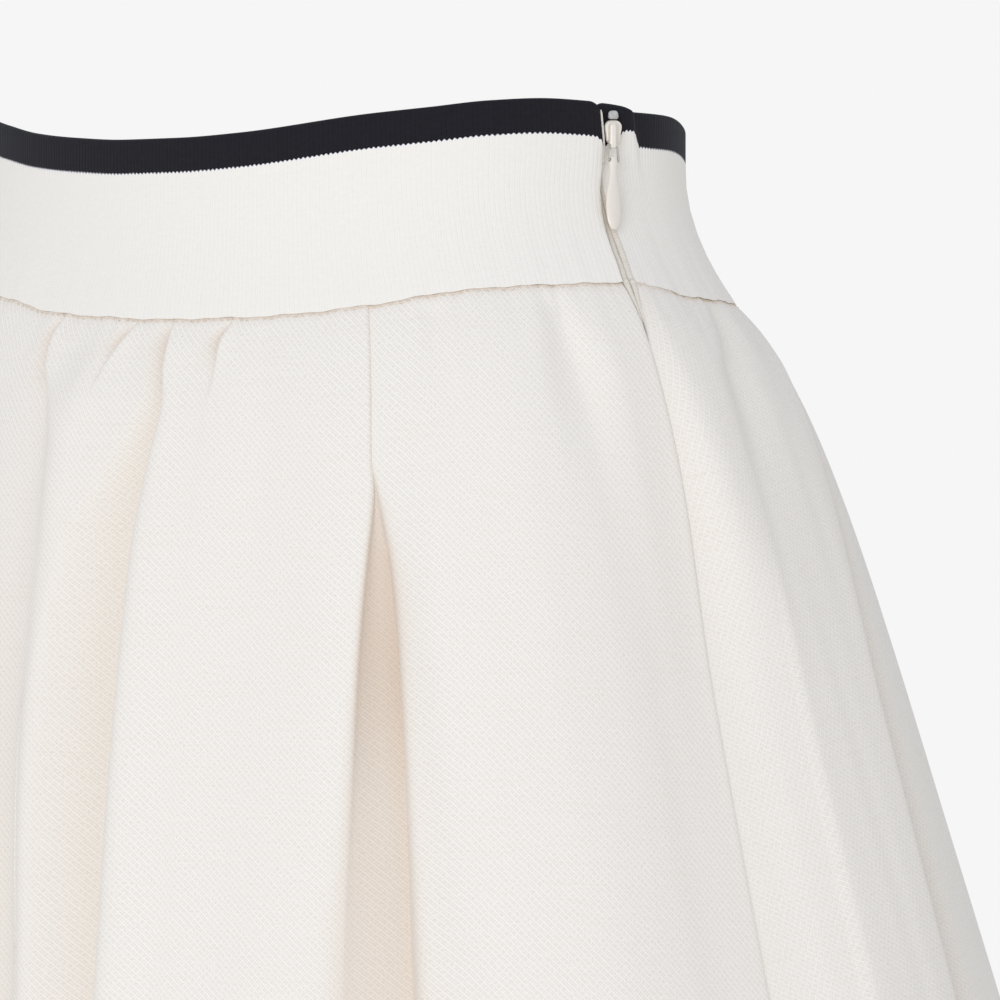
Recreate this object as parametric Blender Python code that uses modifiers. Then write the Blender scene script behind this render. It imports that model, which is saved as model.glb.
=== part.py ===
"""Flared mini skirt, worn but with nobody in it.

Ivory cloth is gathered and pleated onto a rib-knit waistband, with an invisible zip at
the wearer's left side. Millimetres in the tables, metres in the model.
Turn is measured round the body in degrees: 0 centre front, 90 the wearer's left,
180 centre back, -90 the wearer's right. The front faces -Y and +Z is up.
The origin is the middle of the waist opening, half way up the waistband.
"""
import math
from collections import namedtuple

import bmesh
import bpy
import numpy as np
from mathutils import Matrix, Vector

MM = 0.001

# Driving dimensions
CLOTH = 1.2              # skirt cloth
RIB = 2.0                # rib knit, folded double
TAPE = 0.7               # zip tape
SEAM_GAP = 0.3           # clear space left where two pieces are sewn together
SKIRT_LENGTH = 390.0     # from the waist seam to the hem
HEM_Z = -415.0
BAND_HEIGHT = 58.0       # measured along the rib

# Waist seam ring: half width, half depth to the front and to the back
SEAM_HALF_WIDTH = 140.0
SEAM_FRONT_DEPTH = 97.0
SEAM_BACK_DEPTH = 102.0
# Waistband's upper edge ring, and how far down it stays upright
TOP_HALF_WIDTH = 124.0
TOP_FRONT_DEPTH = 89.0
TOP_BACK_DEPTH = 86.0
UPRIGHT_HEIGHT = 43.0
BAND_FLARE_POWER = 1.9

# Growth of the skirt below the seam: a quick puff over the gathers, then a straight flare
PUFF = 16.5
PUFF_FRONT = 10.0
PUFF_DEPTH = 25.0
FLARE = 0.304
FLARE_FRONT = 0.20

# Height of the waistband's upper edge and of the waist seam, by turn
WaistLine = namedtuple("WaistLine", "turn top seam")
WAIST_LINE = (
    WaistLine(-180, 21.5, -30.0),
    WaistLine(-150, 22.0, -29.0),
    WaistLine(-120, 23.0, -27.0),
    WaistLine(-95, 26.0, -24.0),
    WaistLine(-75, 30.5, -21.5),
    WaistLine(-55, 32.0, -20.5),
    WaistLine(-40, 31.0, -21.5),
    WaistLine(-30, 28.4, -22.8),
    WaistLine(-20, 25.3, -24.9),
    WaistLine(-10, 23.5, -29.2),
    WaistLine(0, 22.5, -31.0),
    WaistLine(10, 22.7, -31.7),
    WaistLine(20, 23.9, -31.4),
    WaistLine(40, 29.0, -27.5),
    WaistLine(50, 31.0, -23.8),
    WaistLine(60, 32.7, -22.2),
    WaistLine(80, 33.0, -20.9),
    WaistLine(95, 30.0, -25.0),
    WaistLine(115, 26.3, -26.8),
    WaistLine(150, 22.5, -29.0),
    WaistLine(180, 21.5, -30.0),
)

# A fold is a line down the cloth. over is +1 where the side towards the centre front, seen
# from the wearer's left, lies on top, -1 where the other side does, and 0 for a soft
# hollow. Each column after it holds one value for each depth below the seam in DEPTHS:
# turn of the line, rise of the step between its two sides, lap of one side over the other,
# how far the step reaches on the upper and on the lower side (for a hollow, on the side of
# the lower and of the higher turn), and half the width of the step along the cloth.
DEPTHS = (0, 8, 24, 60, 120, 210, 390)
Fold = namedtuple("Fold", "name over turn rise lap upper lower soft")
NO_LAP = (0, 0, 0, 0, 0, 0, 0)
ROUND = (4, 4, 4, 4, 4, 4, 4)
SHOWN_FOLDS = (
    Fold("tuck_right_of_centre", -1, (-21.5, -21.2, -21.0, -20.0, -18.8, -17.6, -16.0),
         (0.8, 3.2, 5.0, 8.0, 10.0, 10.0, 12.0), (0.0, 1.6, 1.0, 0.4, 0.0, 0.0, 0.0),
         (5, 7, 12, 16, 20, 26, 40), (6, 8, 14, 22, 32, 36, 44),
         (2.0, 2.1, 2.3, 2.9, 3.8, 5.2, 8.0)),
    Fold("long_fold_by_centre", -1, (-8.8, -8.4, -6.8, -3.8, -1.2, 2.8, 8.0),
         (0.8, 3.4, 6.5, 14.0, 18.0, 15.0, 16.0), (0.0, 1.6, 0.8, 0.3, 0.2, 0.0, 0.0),
         (5, 7, 10, 13, 16, 20, 34), (6, 8, 13, 25, 33, 30, 40),
         (2.0, 2.1, 2.3, 3.2, 4.0, 4.6, 7.0)),
    Fold("soft_fold_by_centre", 0, (-3.6, -3.6, -2.9, -2.6, -1.0, 3.0, 8.0),
         (0.0, 0.2, 1.5, 0.6, 0.0, 0.0, 0.0), NO_LAP,
         (4, 4, 5, 7, 7, 7, 7), (3, 3, 4, 6, 6, 6, 6),
         ROUND),
    Fold("short_tuck_at_centre", -1, (5.0, 3.4, 2.6, 3.0, 5.0, 6.5, 8.5),
         (0.8, 3.0, 1.0, 0.0, 0.0, 0.0, 0.0), (0.0, 1.6, 0.3, 0.0, 0.0, 0.0, 0.0),
         (4, 5, 8, 10, 10, 10, 10), (5, 6, 9, 12, 12, 12, 12),
         (1.9, 2.0, 2.2, 2.4, 3.0, 3.4, 4.0)),
    Fold("long_fold_left_of_centre", -1, (10.2, 10.1, 10.5, 10.6, 10.9, 11.1, 12.0),
         (0.8, 4.2, 10.0, 18.0, 22.0, 18.0, 19.0), (0.0, 1.8, 1.2, 0.5, 0.3, 0.3, 0.3),
         (4, 6, 8, 10, 14, 18, 30), (5, 7, 12, 20, 32, 30, 38),
         (2.1, 2.2, 2.4, 3.0, 3.8, 4.4, 6.0)),
    Fold("short_tuck_left_of_centre", -1, (19.2, 17.8, 16.8, 16.6, 17.0, 17.4, 18.0),
         (0.8, 3.0, 1.4, 0.3, 0.0, 0.0, 0.0), (0.0, 1.6, 0.4, 0.0, 0.0, 0.0, 0.0),
         (4, 5, 8, 10, 10, 10, 10), (5, 6, 9, 12, 12, 12, 12),
         (1.9, 2.0, 2.2, 2.4, 3.0, 3.4, 4.0)),
    Fold("soft_dent", 0, (25.5, 25.3, 25.0, 24.6, 23.6, 22.5, 22.5),
         (0.0, 0.3, 1.2, 1.8, 1.4, 0.8, 0.0), NO_LAP,
         (6, 6, 8, 12, 16, 18, 18), (6, 6, 8, 12, 16, 18, 18),
         ROUND),
    Fold("pleat_edge", 1, (38.2, 38.1, 37.9, 37.2, 35.0, 33.8, 33.0),
         (1.2, 1.5, 1.5, 2.6, 3.2, 0.8, 0.5), (0.6, 1.0, 1.0, 1.4, 1.4, 0.6, 0.4),
         (6, 8, 10, 12, 14, 16, 20), (6, 7, 8, 7, 15, 20, 24),
         (1.1, 1.1, 1.2, 1.5, 2.2, 4.6, 6.0)),
    Fold("pleat_crease", -1, (38.8, 38.7, 38.6, 39.5, 40.0, 40.0, 40.2),
         (0.0, 0.0, 0.2, 6.5, 23.0, 22.0, 25.0), (0.0, 0.0, 0.0, 0.5, 1.0, 0.6, 0.4),
         (6, 6, 8, 8, 9, 14, 24), (4, 4, 4, 5.5, 15, 24, 32),
         (1.2, 1.2, 1.2, 1.4, 2.0, 4.2, 6.0)),
    Fold("soft_gather_front", 0, (47.5, 47.2, 46.2, 45.5, 45.0, 45.0, 45.0),
         (0.3, 1.4, 1.3, 0.8, 0.2, 0.0, 0.0), NO_LAP,
         (4, 4, 6, 9, 9, 9, 9), (4, 4, 6, 9, 9, 9, 9),
         ROUND),
    Fold("soft_gather_side", 0, (65.0, 64.9, 64.8, 65.2, 66.0, 66.0, 66.0),
         (0.3, 2.4, 4.8, 2.0, 0.0, 0.0, 0.0), NO_LAP,
         (5, 5, 8, 11, 16, 16, 16), (5, 5, 8, 11, 16, 16, 16),
         ROUND),
    Fold("zip_valley", 0, (78.3, 78.3, 78.3, 78.8, 78.2, 77.8, 78.4),
         (0.2, 0.6, 3.0, 8.5, 14.0, 15.0, 16.0), NO_LAP,
         (8, 10, 14, 28, 40, 44, 46), (4, 5, 6, 9, 22, 27, 30),
         ROUND),
    Fold("zip_seam", 1, (78.5, 78.5, 78.5, 79.0, 78.4, 78.0, 78.6),
         (0.8, 1.2, 1.6, 1.6, 1.4, 1.2, 1.2), (0.0, 0.0, 0.3, 0.5, 0.5, 0.3, 0.3),
         (6, 8, 10, 12, 14, 14, 16), (5, 7, 8, 10, 12, 14, 16),
         (1.5, 1.5, 1.6, 1.7, 1.9, 2.1, 2.5)),
    Fold("soft_valley_back", 0, (100.5, 99.8, 95.8, 94.0, 94.0, 94.0, 93.5),
         (0.4, 2.2, 2.4, 0.9, 0.0, 0.0, 0.0), NO_LAP,
         (4, 5, 7, 9, 12, 12, 12), (5, 6, 9, 12, 12, 12, 12),
         ROUND),
    Fold("long_fold_back", 1, (121.0, 119.0, 113.0, 107.6, 103.0, 101.8, 100.5),
         (0.8, 3.0, 4.4, 6.0, 9.0, 10.0, 13.0), (0.0, 1.4, 1.0, 0.8, 0.8, 0.8, 0.5),
         (5, 7, 11, 14, 18, 22, 28), (6, 8, 10, 13, 17, 20, 30),
         (1.9, 2.0, 2.1, 2.3, 2.6, 3.0, 4.0)),
)
# Folds on the sides that are out of sight, set like the shown ones: name, the shown fold
# it follows, whether it mirrors it, the turn it is counted from, its own shift and size
LikeFold = namedtuple("LikeFold", "name like mirrored about shift size")
HIDDEN_FOLDS = (
    LikeFold("pleat_edge_right", "pleat_edge", True, 0, -0.6, 0.95),
    LikeFold("pleat_crease_right", "pleat_crease", True, 0, -0.6, 0.8),
    LikeFold("soft_gather_front_right", "soft_gather_front", True, 0, -2.0, 1.1),
    LikeFold("soft_gather_side_right", "soft_gather_side", True, 0, 1.5, 0.9),
    LikeFold("side_valley", "zip_valley", True, 0, 0.0, 0.8),
    LikeFold("side_seam", "zip_seam", True, 0, 0.0, 0.8),
    LikeFold("soft_valley_back_right", "soft_valley_back", True, 0, -1.5, 1.2),
    LikeFold("long_fold_back_right", "long_fold_back", True, 0, -2.0, 1.1),
    LikeFold("pleat_edge_back_left", "pleat_edge", True, 180, 1.0, 1.0),
    LikeFold("pleat_crease_back_left", "pleat_crease", True, 180, 1.0, 0.85),
    LikeFold("short_tuck_back_left", "short_tuck_left_of_centre", True, 180, -2.0, 0.9),
    LikeFold("long_fold_back_centre_left", "long_fold_left_of_centre", True, 180, 1.5, 0.9),
    LikeFold("short_tuck_back_centre", "short_tuck_at_centre", True, 180, -3.0, 1.1),
    LikeFold("long_fold_back_centre_right", "long_fold_left_of_centre", False, -180, 1.0, 0.75),
    LikeFold("short_tuck_back_right", "short_tuck_left_of_centre", False, -180, 2.5, 1.1),
    LikeFold("pleat_edge_back_right", "pleat_edge", False, -180, 0.5, 0.95),
    LikeFold("pleat_crease_back_right", "pleat_crease", False, -180, 0.5, 0.9),
)
TOP_SHARE = 0.25         # share of a step that stands above the panel, the rest lies below
RAMP_POWER = 1.5         # how a step's lower side steepens towards its line
LAP_REACH = 9.0          # how far from a fold its cloth is pushed together
SOFT_GATHER = 0.35       # share of a step's half width that is taken up along the cloth
MAX_SLOPE_OFFSET = 1.4   # most that a wall widens where it slopes

# Zip opening in the waistband, by share of the band's height: turn of the front end, turn
# of the back end, and how far the front end stands out and the back end lies in
ZipEdge = namedtuple("ZipEdge", "height front back front_out back_in")
ZIP_EDGES = (
    ZipEdge(0.00, 78.5, 81.0, 0.4, 0.6),
    ZipEdge(0.12, 79.0, 82.0, 0.5, 0.8),
    ZipEdge(0.25, 79.2, 82.4, 0.6, 1.1),
    ZipEdge(0.50, 80.3, 82.3, 0.6, 1.6),
    ZipEdge(0.75, 82.0, 82.2, 0.6, 2.2),
    ZipEdge(1.00, 81.3, 81.5, 0.6, 2.4),
)
FRONT_END_REACH = 8.0    # how far from its end the band's front end stands out
BACK_END_REACH = 12.0
FRONT_LEAN_REACH = 20.0  # turn within which the columns follow a leaning end
BACK_LEAN_REACH = 14.0
CORNER_RADIUS = 3.5      # rounded upper corner of the band's two ends
CORNER_DROP = 0.8        # share of that corner's radius that the edge drops
# Small tuck in the band behind the zip: turn at the top and where it fades out
TUCK_TURN_TOP = 90.2
TUCK_TURN_LOW = 93.6
TUCK_RISE = 1.5
TUCK_FADE = 0.6
TUCK_SOFT = 1.0
TUCK_REACH = 9.0
TUCK_POWER = 0.7         # how quickly it grows above the place where it fades out
# Width of the opening in the skirt below the seam, and the depth where it closes
OPENING_WIDTH = 4.2
OPENING_DEPTH = 19.0
OPENING_POWER = 1.3
OPENING_REACH = 9.0      # how far into the back panel its edge is pushed aside

# Zip tape: half width, its depth below the seam, its share of the band's height
TAPE_HALF_WIDTH = 7.0
TAPE_DEPTH = 60.0
TAPE_TOP = 0.93

# Zip hardware
HARDWARE_TURN = 83.9     # turn of the slider's middle
SLIDER_WIDTH = 5.2
SLIDER_FOOT_WIDTH = 3.4
SLIDER_HEIGHT = 7.3
SLIDER_THICKNESS = 2.7
SLIDER_BASE = -0.35      # back of the slider above the band's middle surface
SLIDER_FOOT_Z = 20.6
CROWN_WIDTH = 1.8
CROWN_DEPTH = 2.1
CROWN_EXTRA = 0.6        # length of the crown beyond the slider's
CROWN_DROP = 1.3         # middle of the crown below the slider's middle
SLIDER_ROUNDING = 0.55
SMALL_ROUNDING = 0.5
CUTTER_LENGTH = 8.0
PIVOT_OUT = 3.0          # link's upper bar above the band's middle surface
PIVOT_Z = 19.7
WIRE_RADIUS = 0.3
EYE_RADIUS = 0.58
LINK_DROP = 4.7          # between the link's two bars
LINK_TOP_HALF = 1.8
LINK_FOOT_HALF = 2.2
PULL_TIP_TURN = 80.6
PULL_TIP_Z = -5.8
PULL_TIP_OUT = 3.1
# Teardrop pull: distance below the eye, half width and half thickness
PullSection = namedtuple("PullSection", "drop half_width half_thickness")
PULL_SECTIONS = (
    PullSection(-1.45, 0.55, 0.45),
    PullSection(-1.10, 1.05, 0.85),
    PullSection(0.00, 1.50, 1.05),
    PullSection(1.50, 1.35, 0.95),
    PullSection(3.50, 1.25, 0.80),
    PullSection(6.00, 1.65, 0.85),
    PullSection(9.50, 2.45, 0.95),
    PullSection(13.00, 2.80, 1.00),
    PullSection(16.50, 2.55, 0.95),
    PullSection(18.80, 1.85, 0.80),
    PullSection(20.00, 0.90, 0.50),
)
STOP_WIDTH = 2.8
STOP_HEIGHT = 2.9
STOP_THICKNESS = 1.4
STOP_ASIDE = 0.3         # middle of the stop beside the slider's middle

# Mesh densities
FRONT_COLUMNS = 118
BACK_COLUMNS = 116
BAND_COLUMNS = 104
BAND_END_SHARE = 0.75    # how much closer the band's columns stand near its ends
FOLD_REACH = 5.0         # how far from a fold the skirt's columns stand closer together
FOLD_DENSITY = 5.0       # how much closer by a fold's step
SKIRT_ROWS = (0, 4, 9, 16, 26, 40, 54, 70, 100, 145, 205, 290, 390)
BAND_ROWS = (0, 0.10, 0.22, 0.36, 0.55, 0.78, 0.94, 1.0)
TAPE_COLUMNS = 4
TAPE_LEVELS = (-TAPE_DEPTH, -40, -26, -14, -6, 0, 0.12, 0.25, 0.4, 0.6, 0.8, TAPE_TOP)
PULL_SIDES = 20

Finish = namedtuple("Finish", "name colour roughness metallic")
IVORY_CLOTH = Finish("ivory_cloth", (0.86, 0.82, 0.76), 0.9, 0.0)
IVORY_RIB = Finish("ivory_rib", (0.90, 0.88, 0.84), 0.9, 0.0)
TAPE_IVORY = Finish("zip_tape", (0.80, 0.76, 0.68), 0.8, 0.0)
ENAMEL_CREAM = Finish("cream_enamel", (0.86, 0.80, 0.70), 0.25, 0.0)
WIRE_GREY = Finish("link_wire", (0.62, 0.62, 0.58), 0.3, 1.0)
STOP_WHITE = Finish("clear_stop", (0.80, 0.84, 0.86), 0.3, 0.0)


def smooth(xs, ys, at):
    """Smooth curve through the points that never overshoots them."""
    xs = np.asarray(xs, dtype=float)
    ys = np.asarray(ys, dtype=float)
    steps = np.diff(xs)
    rates = np.diff(ys) / steps
    product = rates[:-1] * rates[1:]
    total = np.where(product > 0, rates[:-1] + rates[1:], 1.0)
    slopes = np.zeros(len(xs))
    slopes[1:-1] = np.where(product > 0, 2.0 * product / total, 0.0)
    slopes[-1] = rates[-1] if rates[-1] * slopes[-2] > 0 else 0.0
    at = np.clip(at, xs[0], xs[-1])
    i = np.clip(np.searchsorted(xs, at, side="right") - 1, 0, len(xs) - 2)
    h = steps[i]
    t = (at - xs[i]) / h
    return (ys[i] * (1 + 2 * t) * (1 - t) ** 2 + h * slopes[i] * t * (1 - t) ** 2
            + ys[i + 1] * t * t * (3 - 2 * t) - h * slopes[i + 1] * t * t * (1 - t))


def column(rows, name):
    return [getattr(row, name) for row in rows]


def wrap(turn):
    return (turn + 180.0) % 360.0 - 180.0


def waist_height(turn, edge):
    return smooth(column(WAIST_LINE, "turn"), column(WAIST_LINE, edge), wrap(turn))


def like_fold(row):
    """A fold on a hidden side, made from a shown one."""
    model = next(f for f in SHOWN_FOLDS if f.name == row.like)
    way = -1 if row.mirrored else 1
    turn = tuple(row.about + way * t + row.shift for t in model.turn)
    rise = tuple(r * row.size for r in model.rise)
    reaches = (model.upper, model.lower)
    if row.mirrored and model.over == 0:
        reaches = (model.lower, model.upper)
    return Fold(row.name, way * model.over, turn, rise, model.lap, *reaches, model.soft)


FOLDS = sorted(SHOWN_FOLDS + tuple(like_fold(row) for row in HIDDEN_FOLDS),
               key=lambda fold: wrap(fold.turn[0]))
ZIP = next(f for f in FOLDS if f.name == "zip_seam")
SIDE = next(f for f in FOLDS if f.name == "side_seam")


class Ring:
    """Oval round the body, deeper or shallower to the front than to the back."""

    def __init__(self, half_width, front, back):
        self.half_width = half_width
        self.front = front
        self.back = back

    def half_depth(self, turn):
        return np.where(np.cos(np.radians(turn)) > 0, self.front, self.back)

    def point(self, turn):
        a = np.radians(turn)
        return self.half_width * np.sin(a), -self.half_depth(turn) * np.cos(a)

    def outward(self, turn):
        a = np.radians(turn)
        nx = self.half_depth(turn) * np.sin(a)
        ny = -self.half_width * np.cos(a)
        length = np.hypot(nx, ny)
        return nx / length, ny / length

    def per_degree(self, turn):
        a = np.radians(turn)
        run = np.hypot(self.half_width * np.cos(a), self.half_depth(turn) * np.sin(a))
        return run * math.pi / 180.0


def skirt_ring(depth):
    puff = 1.0 - np.exp(-depth / PUFF_DEPTH)
    side = PUFF * puff + FLARE * depth
    front = PUFF_FRONT * puff + FLARE_FRONT * depth
    return Ring(SEAM_HALF_WIDTH + side, SEAM_FRONT_DEPTH + front, SEAM_BACK_DEPTH + side)


def band_ring(height):
    rest = np.clip(1.0 - BAND_HEIGHT * height / UPRIGHT_HEIGHT, 0.0, 1.0)
    f = rest ** BAND_FLARE_POWER
    return Ring(TOP_HALF_WIDTH + (SEAM_HALF_WIDTH - TOP_HALF_WIDTH) * f,
                TOP_FRONT_DEPTH + (SEAM_FRONT_DEPTH - TOP_FRONT_DEPTH) * f,
                TOP_BACK_DEPTH + (SEAM_BACK_DEPTH - TOP_BACK_DEPTH) * f)


def place(ring, turn, along, out, z):
    """World points in metres, moved along and out of the ring."""
    turn = turn + along / ring.per_degree(turn)
    x, y = ring.point(turn)
    nx, ny = ring.outward(turn)
    return np.stack([(x + nx * out) * MM, (y + ny * out) * MM, z * MM + 0 * x], axis=-1)


def fold_path(turn, depth):
    """Turn at this depth of the cloth that leaves the seam at the given turn."""
    starts = [wrap(f.turn[0]) for f in FOLDS]
    drifts = [smooth(DEPTHS, f.turn, depth) - f.turn[0] for f in FOLDS]
    starts = [starts[-1] - 360.0] + starts + [starts[0] + 360.0]
    drifts = [drifts[-1]] + drifts + [drifts[0]]
    drift = np.zeros(turn.shape)
    at = wrap(turn)
    for i in range(len(starts) - 1):
        inside = (at >= starts[i]) & (at < starts[i + 1])
        share = (at - starts[i]) / (starts[i + 1] - starts[i])
        drift = np.where(inside, drifts[i] * (1 - share) + drifts[i + 1] * share, drift)
    return turn + drift


def fold_offsets(turn, depth, ring):
    """Moves along and out of the ring that all the folds make together."""
    along = np.zeros(turn.shape)
    out = np.zeros(turn.shape)
    per = ring.per_degree(turn)
    for fold in FOLDS:
        u = wrap(turn - smooth(DEPTHS, fold.turn, depth)) * per
        rise = smooth(DEPTHS, fold.rise, depth)
        upper = smooth(DEPTHS, fold.upper, depth)
        lower = smooth(DEPTHS, fold.lower, depth)
        if fold.over == 0:
            reach = np.where(u < 0, upper, lower)
            out -= rise * np.exp(-(u / reach) ** 2)
            continue
        lap = smooth(DEPTHS, fold.lap, depth)
        q = fold.over * u
        soft = smooth(DEPTHS, fold.soft, depth)
        under = 0.5 * (1.0 + np.tanh(q / soft))
        ramp = np.clip(1.0 - q / lower, 0.0, 1.0) ** RAMP_POWER
        gather = lap + soft * SOFT_GATHER
        along -= gather * np.tanh(u / soft) * np.exp(-(u / LAP_REACH) ** 2)
        out += TOP_SHARE * rise * (1.0 - under) * np.exp(-(np.minimum(q, 0.0) / upper) ** 2)
        out -= (1.0 - TOP_SHARE) * rise * under * ramp
    return along, out


def skirt_points(turn, depth, slide):
    ring = skirt_ring(depth)
    path = fold_path(turn, depth)
    along, out = fold_offsets(path, depth, ring)
    along = along + slide
    seam = waist_height(path + along / ring.per_degree(path), "seam") - SEAM_GAP / 2
    z = seam + (HEM_Z - seam) * depth / SKIRT_LENGTH
    return place(ring, path, along, out, z)


def opening_width(depth):
    """Width of the zip opening below the seam, down to a sewn seam."""
    open_share = np.clip(1.0 - depth / OPENING_DEPTH, 0.0, 1.0)
    return SEAM_GAP + (OPENING_WIDTH - SEAM_GAP) * open_share ** OPENING_POWER


def zip_edge(height, name):
    return smooth(column(ZIP_EDGES, "height"), column(ZIP_EDGES, name), height)


def band_points(turn, height):
    """Waistband points. turn runs from the back end at the zip right round to the front end."""
    ring = band_ring(height)
    from_back = turn - ZIP_EDGES[0].back
    to_front = ZIP_EDGES[0].front + 360.0 - turn
    back_fade = np.exp(-(from_back / BACK_LEAN_REACH) ** 2)
    front_fade = np.exp(-(to_front / FRONT_LEAN_REACH) ** 2)
    lean_back = (zip_edge(height, "back") - ZIP_EDGES[0].back) * back_fade
    lean_front = (zip_edge(height, "front") - ZIP_EDGES[0].front) * front_fade
    path = turn + lean_back + lean_front
    per = ring.per_degree(path)
    back_dist = (path - zip_edge(height, "back")) * per
    front_dist = (zip_edge(height, "front") + 360.0 - path) * per
    out = zip_edge(height, "front_out") * np.exp(-(front_dist / FRONT_END_REACH) ** 2)
    out -= zip_edge(height, "back_in") * np.exp(-(back_dist / BACK_END_REACH) ** 2)
    above = (height - TUCK_FADE) / (1 - TUCK_FADE)
    tuck_turn = TUCK_TURN_LOW + (TUCK_TURN_TOP - TUCK_TURN_LOW) * above
    tuck = TUCK_RISE * np.clip(above, 0, 1) ** TUCK_POWER
    u = (path - tuck_turn) * per
    out -= 0.5 * tuck * np.tanh(u / TUCK_SOFT) * np.exp(-(u / TUCK_REACH) ** 2)
    top = waist_height(path, "top")
    for dist in (back_dist, front_dist):
        inside = np.clip(1.0 - dist / CORNER_RADIUS, 0.0, 1.0)
        top = top - CORNER_RADIUS * CORNER_DROP * (1.0 - np.sqrt(1.0 - inside ** 2))
    seam = waist_height(path, "seam") + SEAM_GAP / 2
    return place(ring, path, 0.0, out, seam + (top - seam) * height)


def tape_points(across, level):
    """Zip tape behind the opening. level is a share of the band's height, or minus the depth."""
    height = np.clip(level, 0.0, 1.0)
    depth = np.clip(-level, 0.0, None)
    in_band = level >= 0
    band = band_ring(height)
    skirt = skirt_ring(depth)
    ring = Ring(np.where(in_band, band.half_width, skirt.half_width),
                np.where(in_band, band.front, skirt.front),
                np.where(in_band, band.back, skirt.back))
    middle_band = (zip_edge(height, "front") + zip_edge(height, "back")) / 2
    half_opening = opening_width(depth) / 2 / skirt.per_degree(ZIP.turn[0])
    turn = np.where(in_band, middle_band, smooth(DEPTHS, ZIP.turn, depth) + half_opening)
    slope = np.interp(height, (0.0, UPRIGHT_HEIGHT / BAND_HEIGHT), (MAX_SLOPE_OFFSET, 1.0))
    band_out = -zip_edge(height, "back_in") - 2 * SEAM_GAP - (TAPE + RIB) / 2 * slope
    cloth_out = fold_offsets(turn + across / skirt.per_degree(turn), depth, skirt)[1]
    skirt_out = cloth_out - 2 * SEAM_GAP - (TAPE + CLOTH) / 2 * MAX_SLOPE_OFFSET
    seam = waist_height(turn, "seam")
    top = waist_height(turn, "top")
    z = np.where(in_band, seam + (top - seam) * height, seam + (HEM_Z - seam) * depth / SKIRT_LENGTH)
    return place(ring, turn, across, np.where(in_band, band_out, skirt_out), z)


def fine_columns(start, end, count):
    """Turns from start to end, closer together by the folds."""
    fine = np.linspace(start, end, 40 * count)
    need = np.full(fine.shape, 1.0)
    for fold in FOLDS:
        away = wrap(fine - fold.turn[0]) * skirt_ring(0.0).per_degree(fine)
        need += (1.0 if fold.over == 0 else FOLD_DENSITY) * np.exp(-(away / FOLD_REACH) ** 2)
    total = np.concatenate([[0.0], np.cumsum((need[1:] + need[:-1]) / 2)])
    return np.interp(np.linspace(0, total[-1], count + 1), total, fine)


def end_columns(start, end, count, fine_share):
    """Turns from start to end, closer together near both ends."""
    t = np.linspace(-1, 1, count + 1)
    bent = t * (1 - fine_share) + fine_share * np.sin(t * math.pi / 2)
    return start + (end - start) * (bent + 1) / 2


def material(finish):
    mat = bpy.data.materials.get(finish.name) or bpy.data.materials.new(finish.name)
    mat.use_nodes = True
    bsdf = mat.node_tree.nodes["Principled BSDF"]
    bsdf.inputs["Base Color"].default_value = (*finish.colour, 1.0)
    bsdf.inputs["Roughness"].default_value = finish.roughness
    bsdf.inputs["Metallic"].default_value = finish.metallic
    mat.diffuse_color = (*finish.colour, 1.0)
    return mat


def add_object(name, mesh, mat, collection):
    obj = bpy.data.objects.new(name, mesh)
    mesh.materials.clear()
    mesh.materials.append(mat)
    collection.objects.link(obj)
    return obj


def wall_faces(points, thickness, ends):
    """Outer and inner points of a wall of this thickness laid on both sides of the points.

    The wall is offset level, so that the edges at a seam stay flat, and a little more
    where the cloth slopes. ends holds the outward directions of the first and last
    columns, where two panels meet.
    """
    along = np.gradient(points, axis=1)
    down = np.gradient(points, axis=0)
    normal = np.cross(along, down)
    normal /= np.linalg.norm(normal, axis=2, keepdims=True)
    level = np.stack([along[..., 1], -along[..., 0], 0 * along[..., 0]], axis=-1)
    level /= np.linalg.norm(level, axis=2, keepdims=True)
    if ends is not None:
        level[:, [0, -1]] = ends
    slope = np.clip(np.abs(np.sum(normal * level, axis=2, keepdims=True)), 1 / MAX_SLOPE_OFFSET, 1)
    half = level * thickness / 2 * MM / slope
    return points + half, points - half


def cloth_sheet(name, points, thickness, mat, collection, ends=None):
    """Closed wall on the points, whose rows run upwards and columns to the right from outside."""
    rows, columns = points.shape[:2]
    outer, inner = wall_faces(points, thickness, ends)
    section = np.concatenate([outer, inner[:, ::-1]], axis=1)
    bm = bmesh.new()
    rings = [[bm.verts.new(p) for p in row] for row in section]
    count = 2 * columns
    for low, high in zip(rings, rings[1:]):
        for k in range(count):
            n = (k + 1) % count
            bm.faces.new((low[k], low[n], high[n], high[k]))
    for k in range(columns - 1):
        far = count - 1 - k
        bm.faces.new((rings[0][k], rings[0][far], rings[0][far - 1], rings[0][k + 1]))
        bm.faces.new((rings[-1][k], rings[-1][k + 1], rings[-1][far - 1], rings[-1][far]))
    mesh = bpy.data.meshes.new(name)
    bm.to_mesh(mesh)
    bm.free()
    mesh.shade_smooth()
    mesh.set_sharp_from_angle(angle=math.radians(60))
    return add_object(name, mesh, mat, collection)


def skirt_panel(name, columns, slide, mat, collection):
    depths = np.array(SKIRT_ROWS[::-1], dtype=float)
    turn, depth = np.meshgrid(columns, depths)
    at_ends = depth[:, [0, -1]]
    nx, ny = skirt_ring(at_ends).outward(fold_path(turn[:, [0, -1]], at_ends))
    ends = np.stack([nx, ny, 0 * nx], axis=-1)
    points = skirt_points(turn, depth, slide(turn, depth))
    return cloth_sheet(name, points, CLOTH, mat, collection, ends)


def front_slide(turn, depth):
    """Half the seam gap at both ends of the front."""
    at_zip = np.isclose(turn, ZIP.turn[0])
    at_side = np.isclose(turn, SIDE.turn[0])
    return SEAM_GAP / 2 * (at_side.astype(float) - at_zip)


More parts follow.
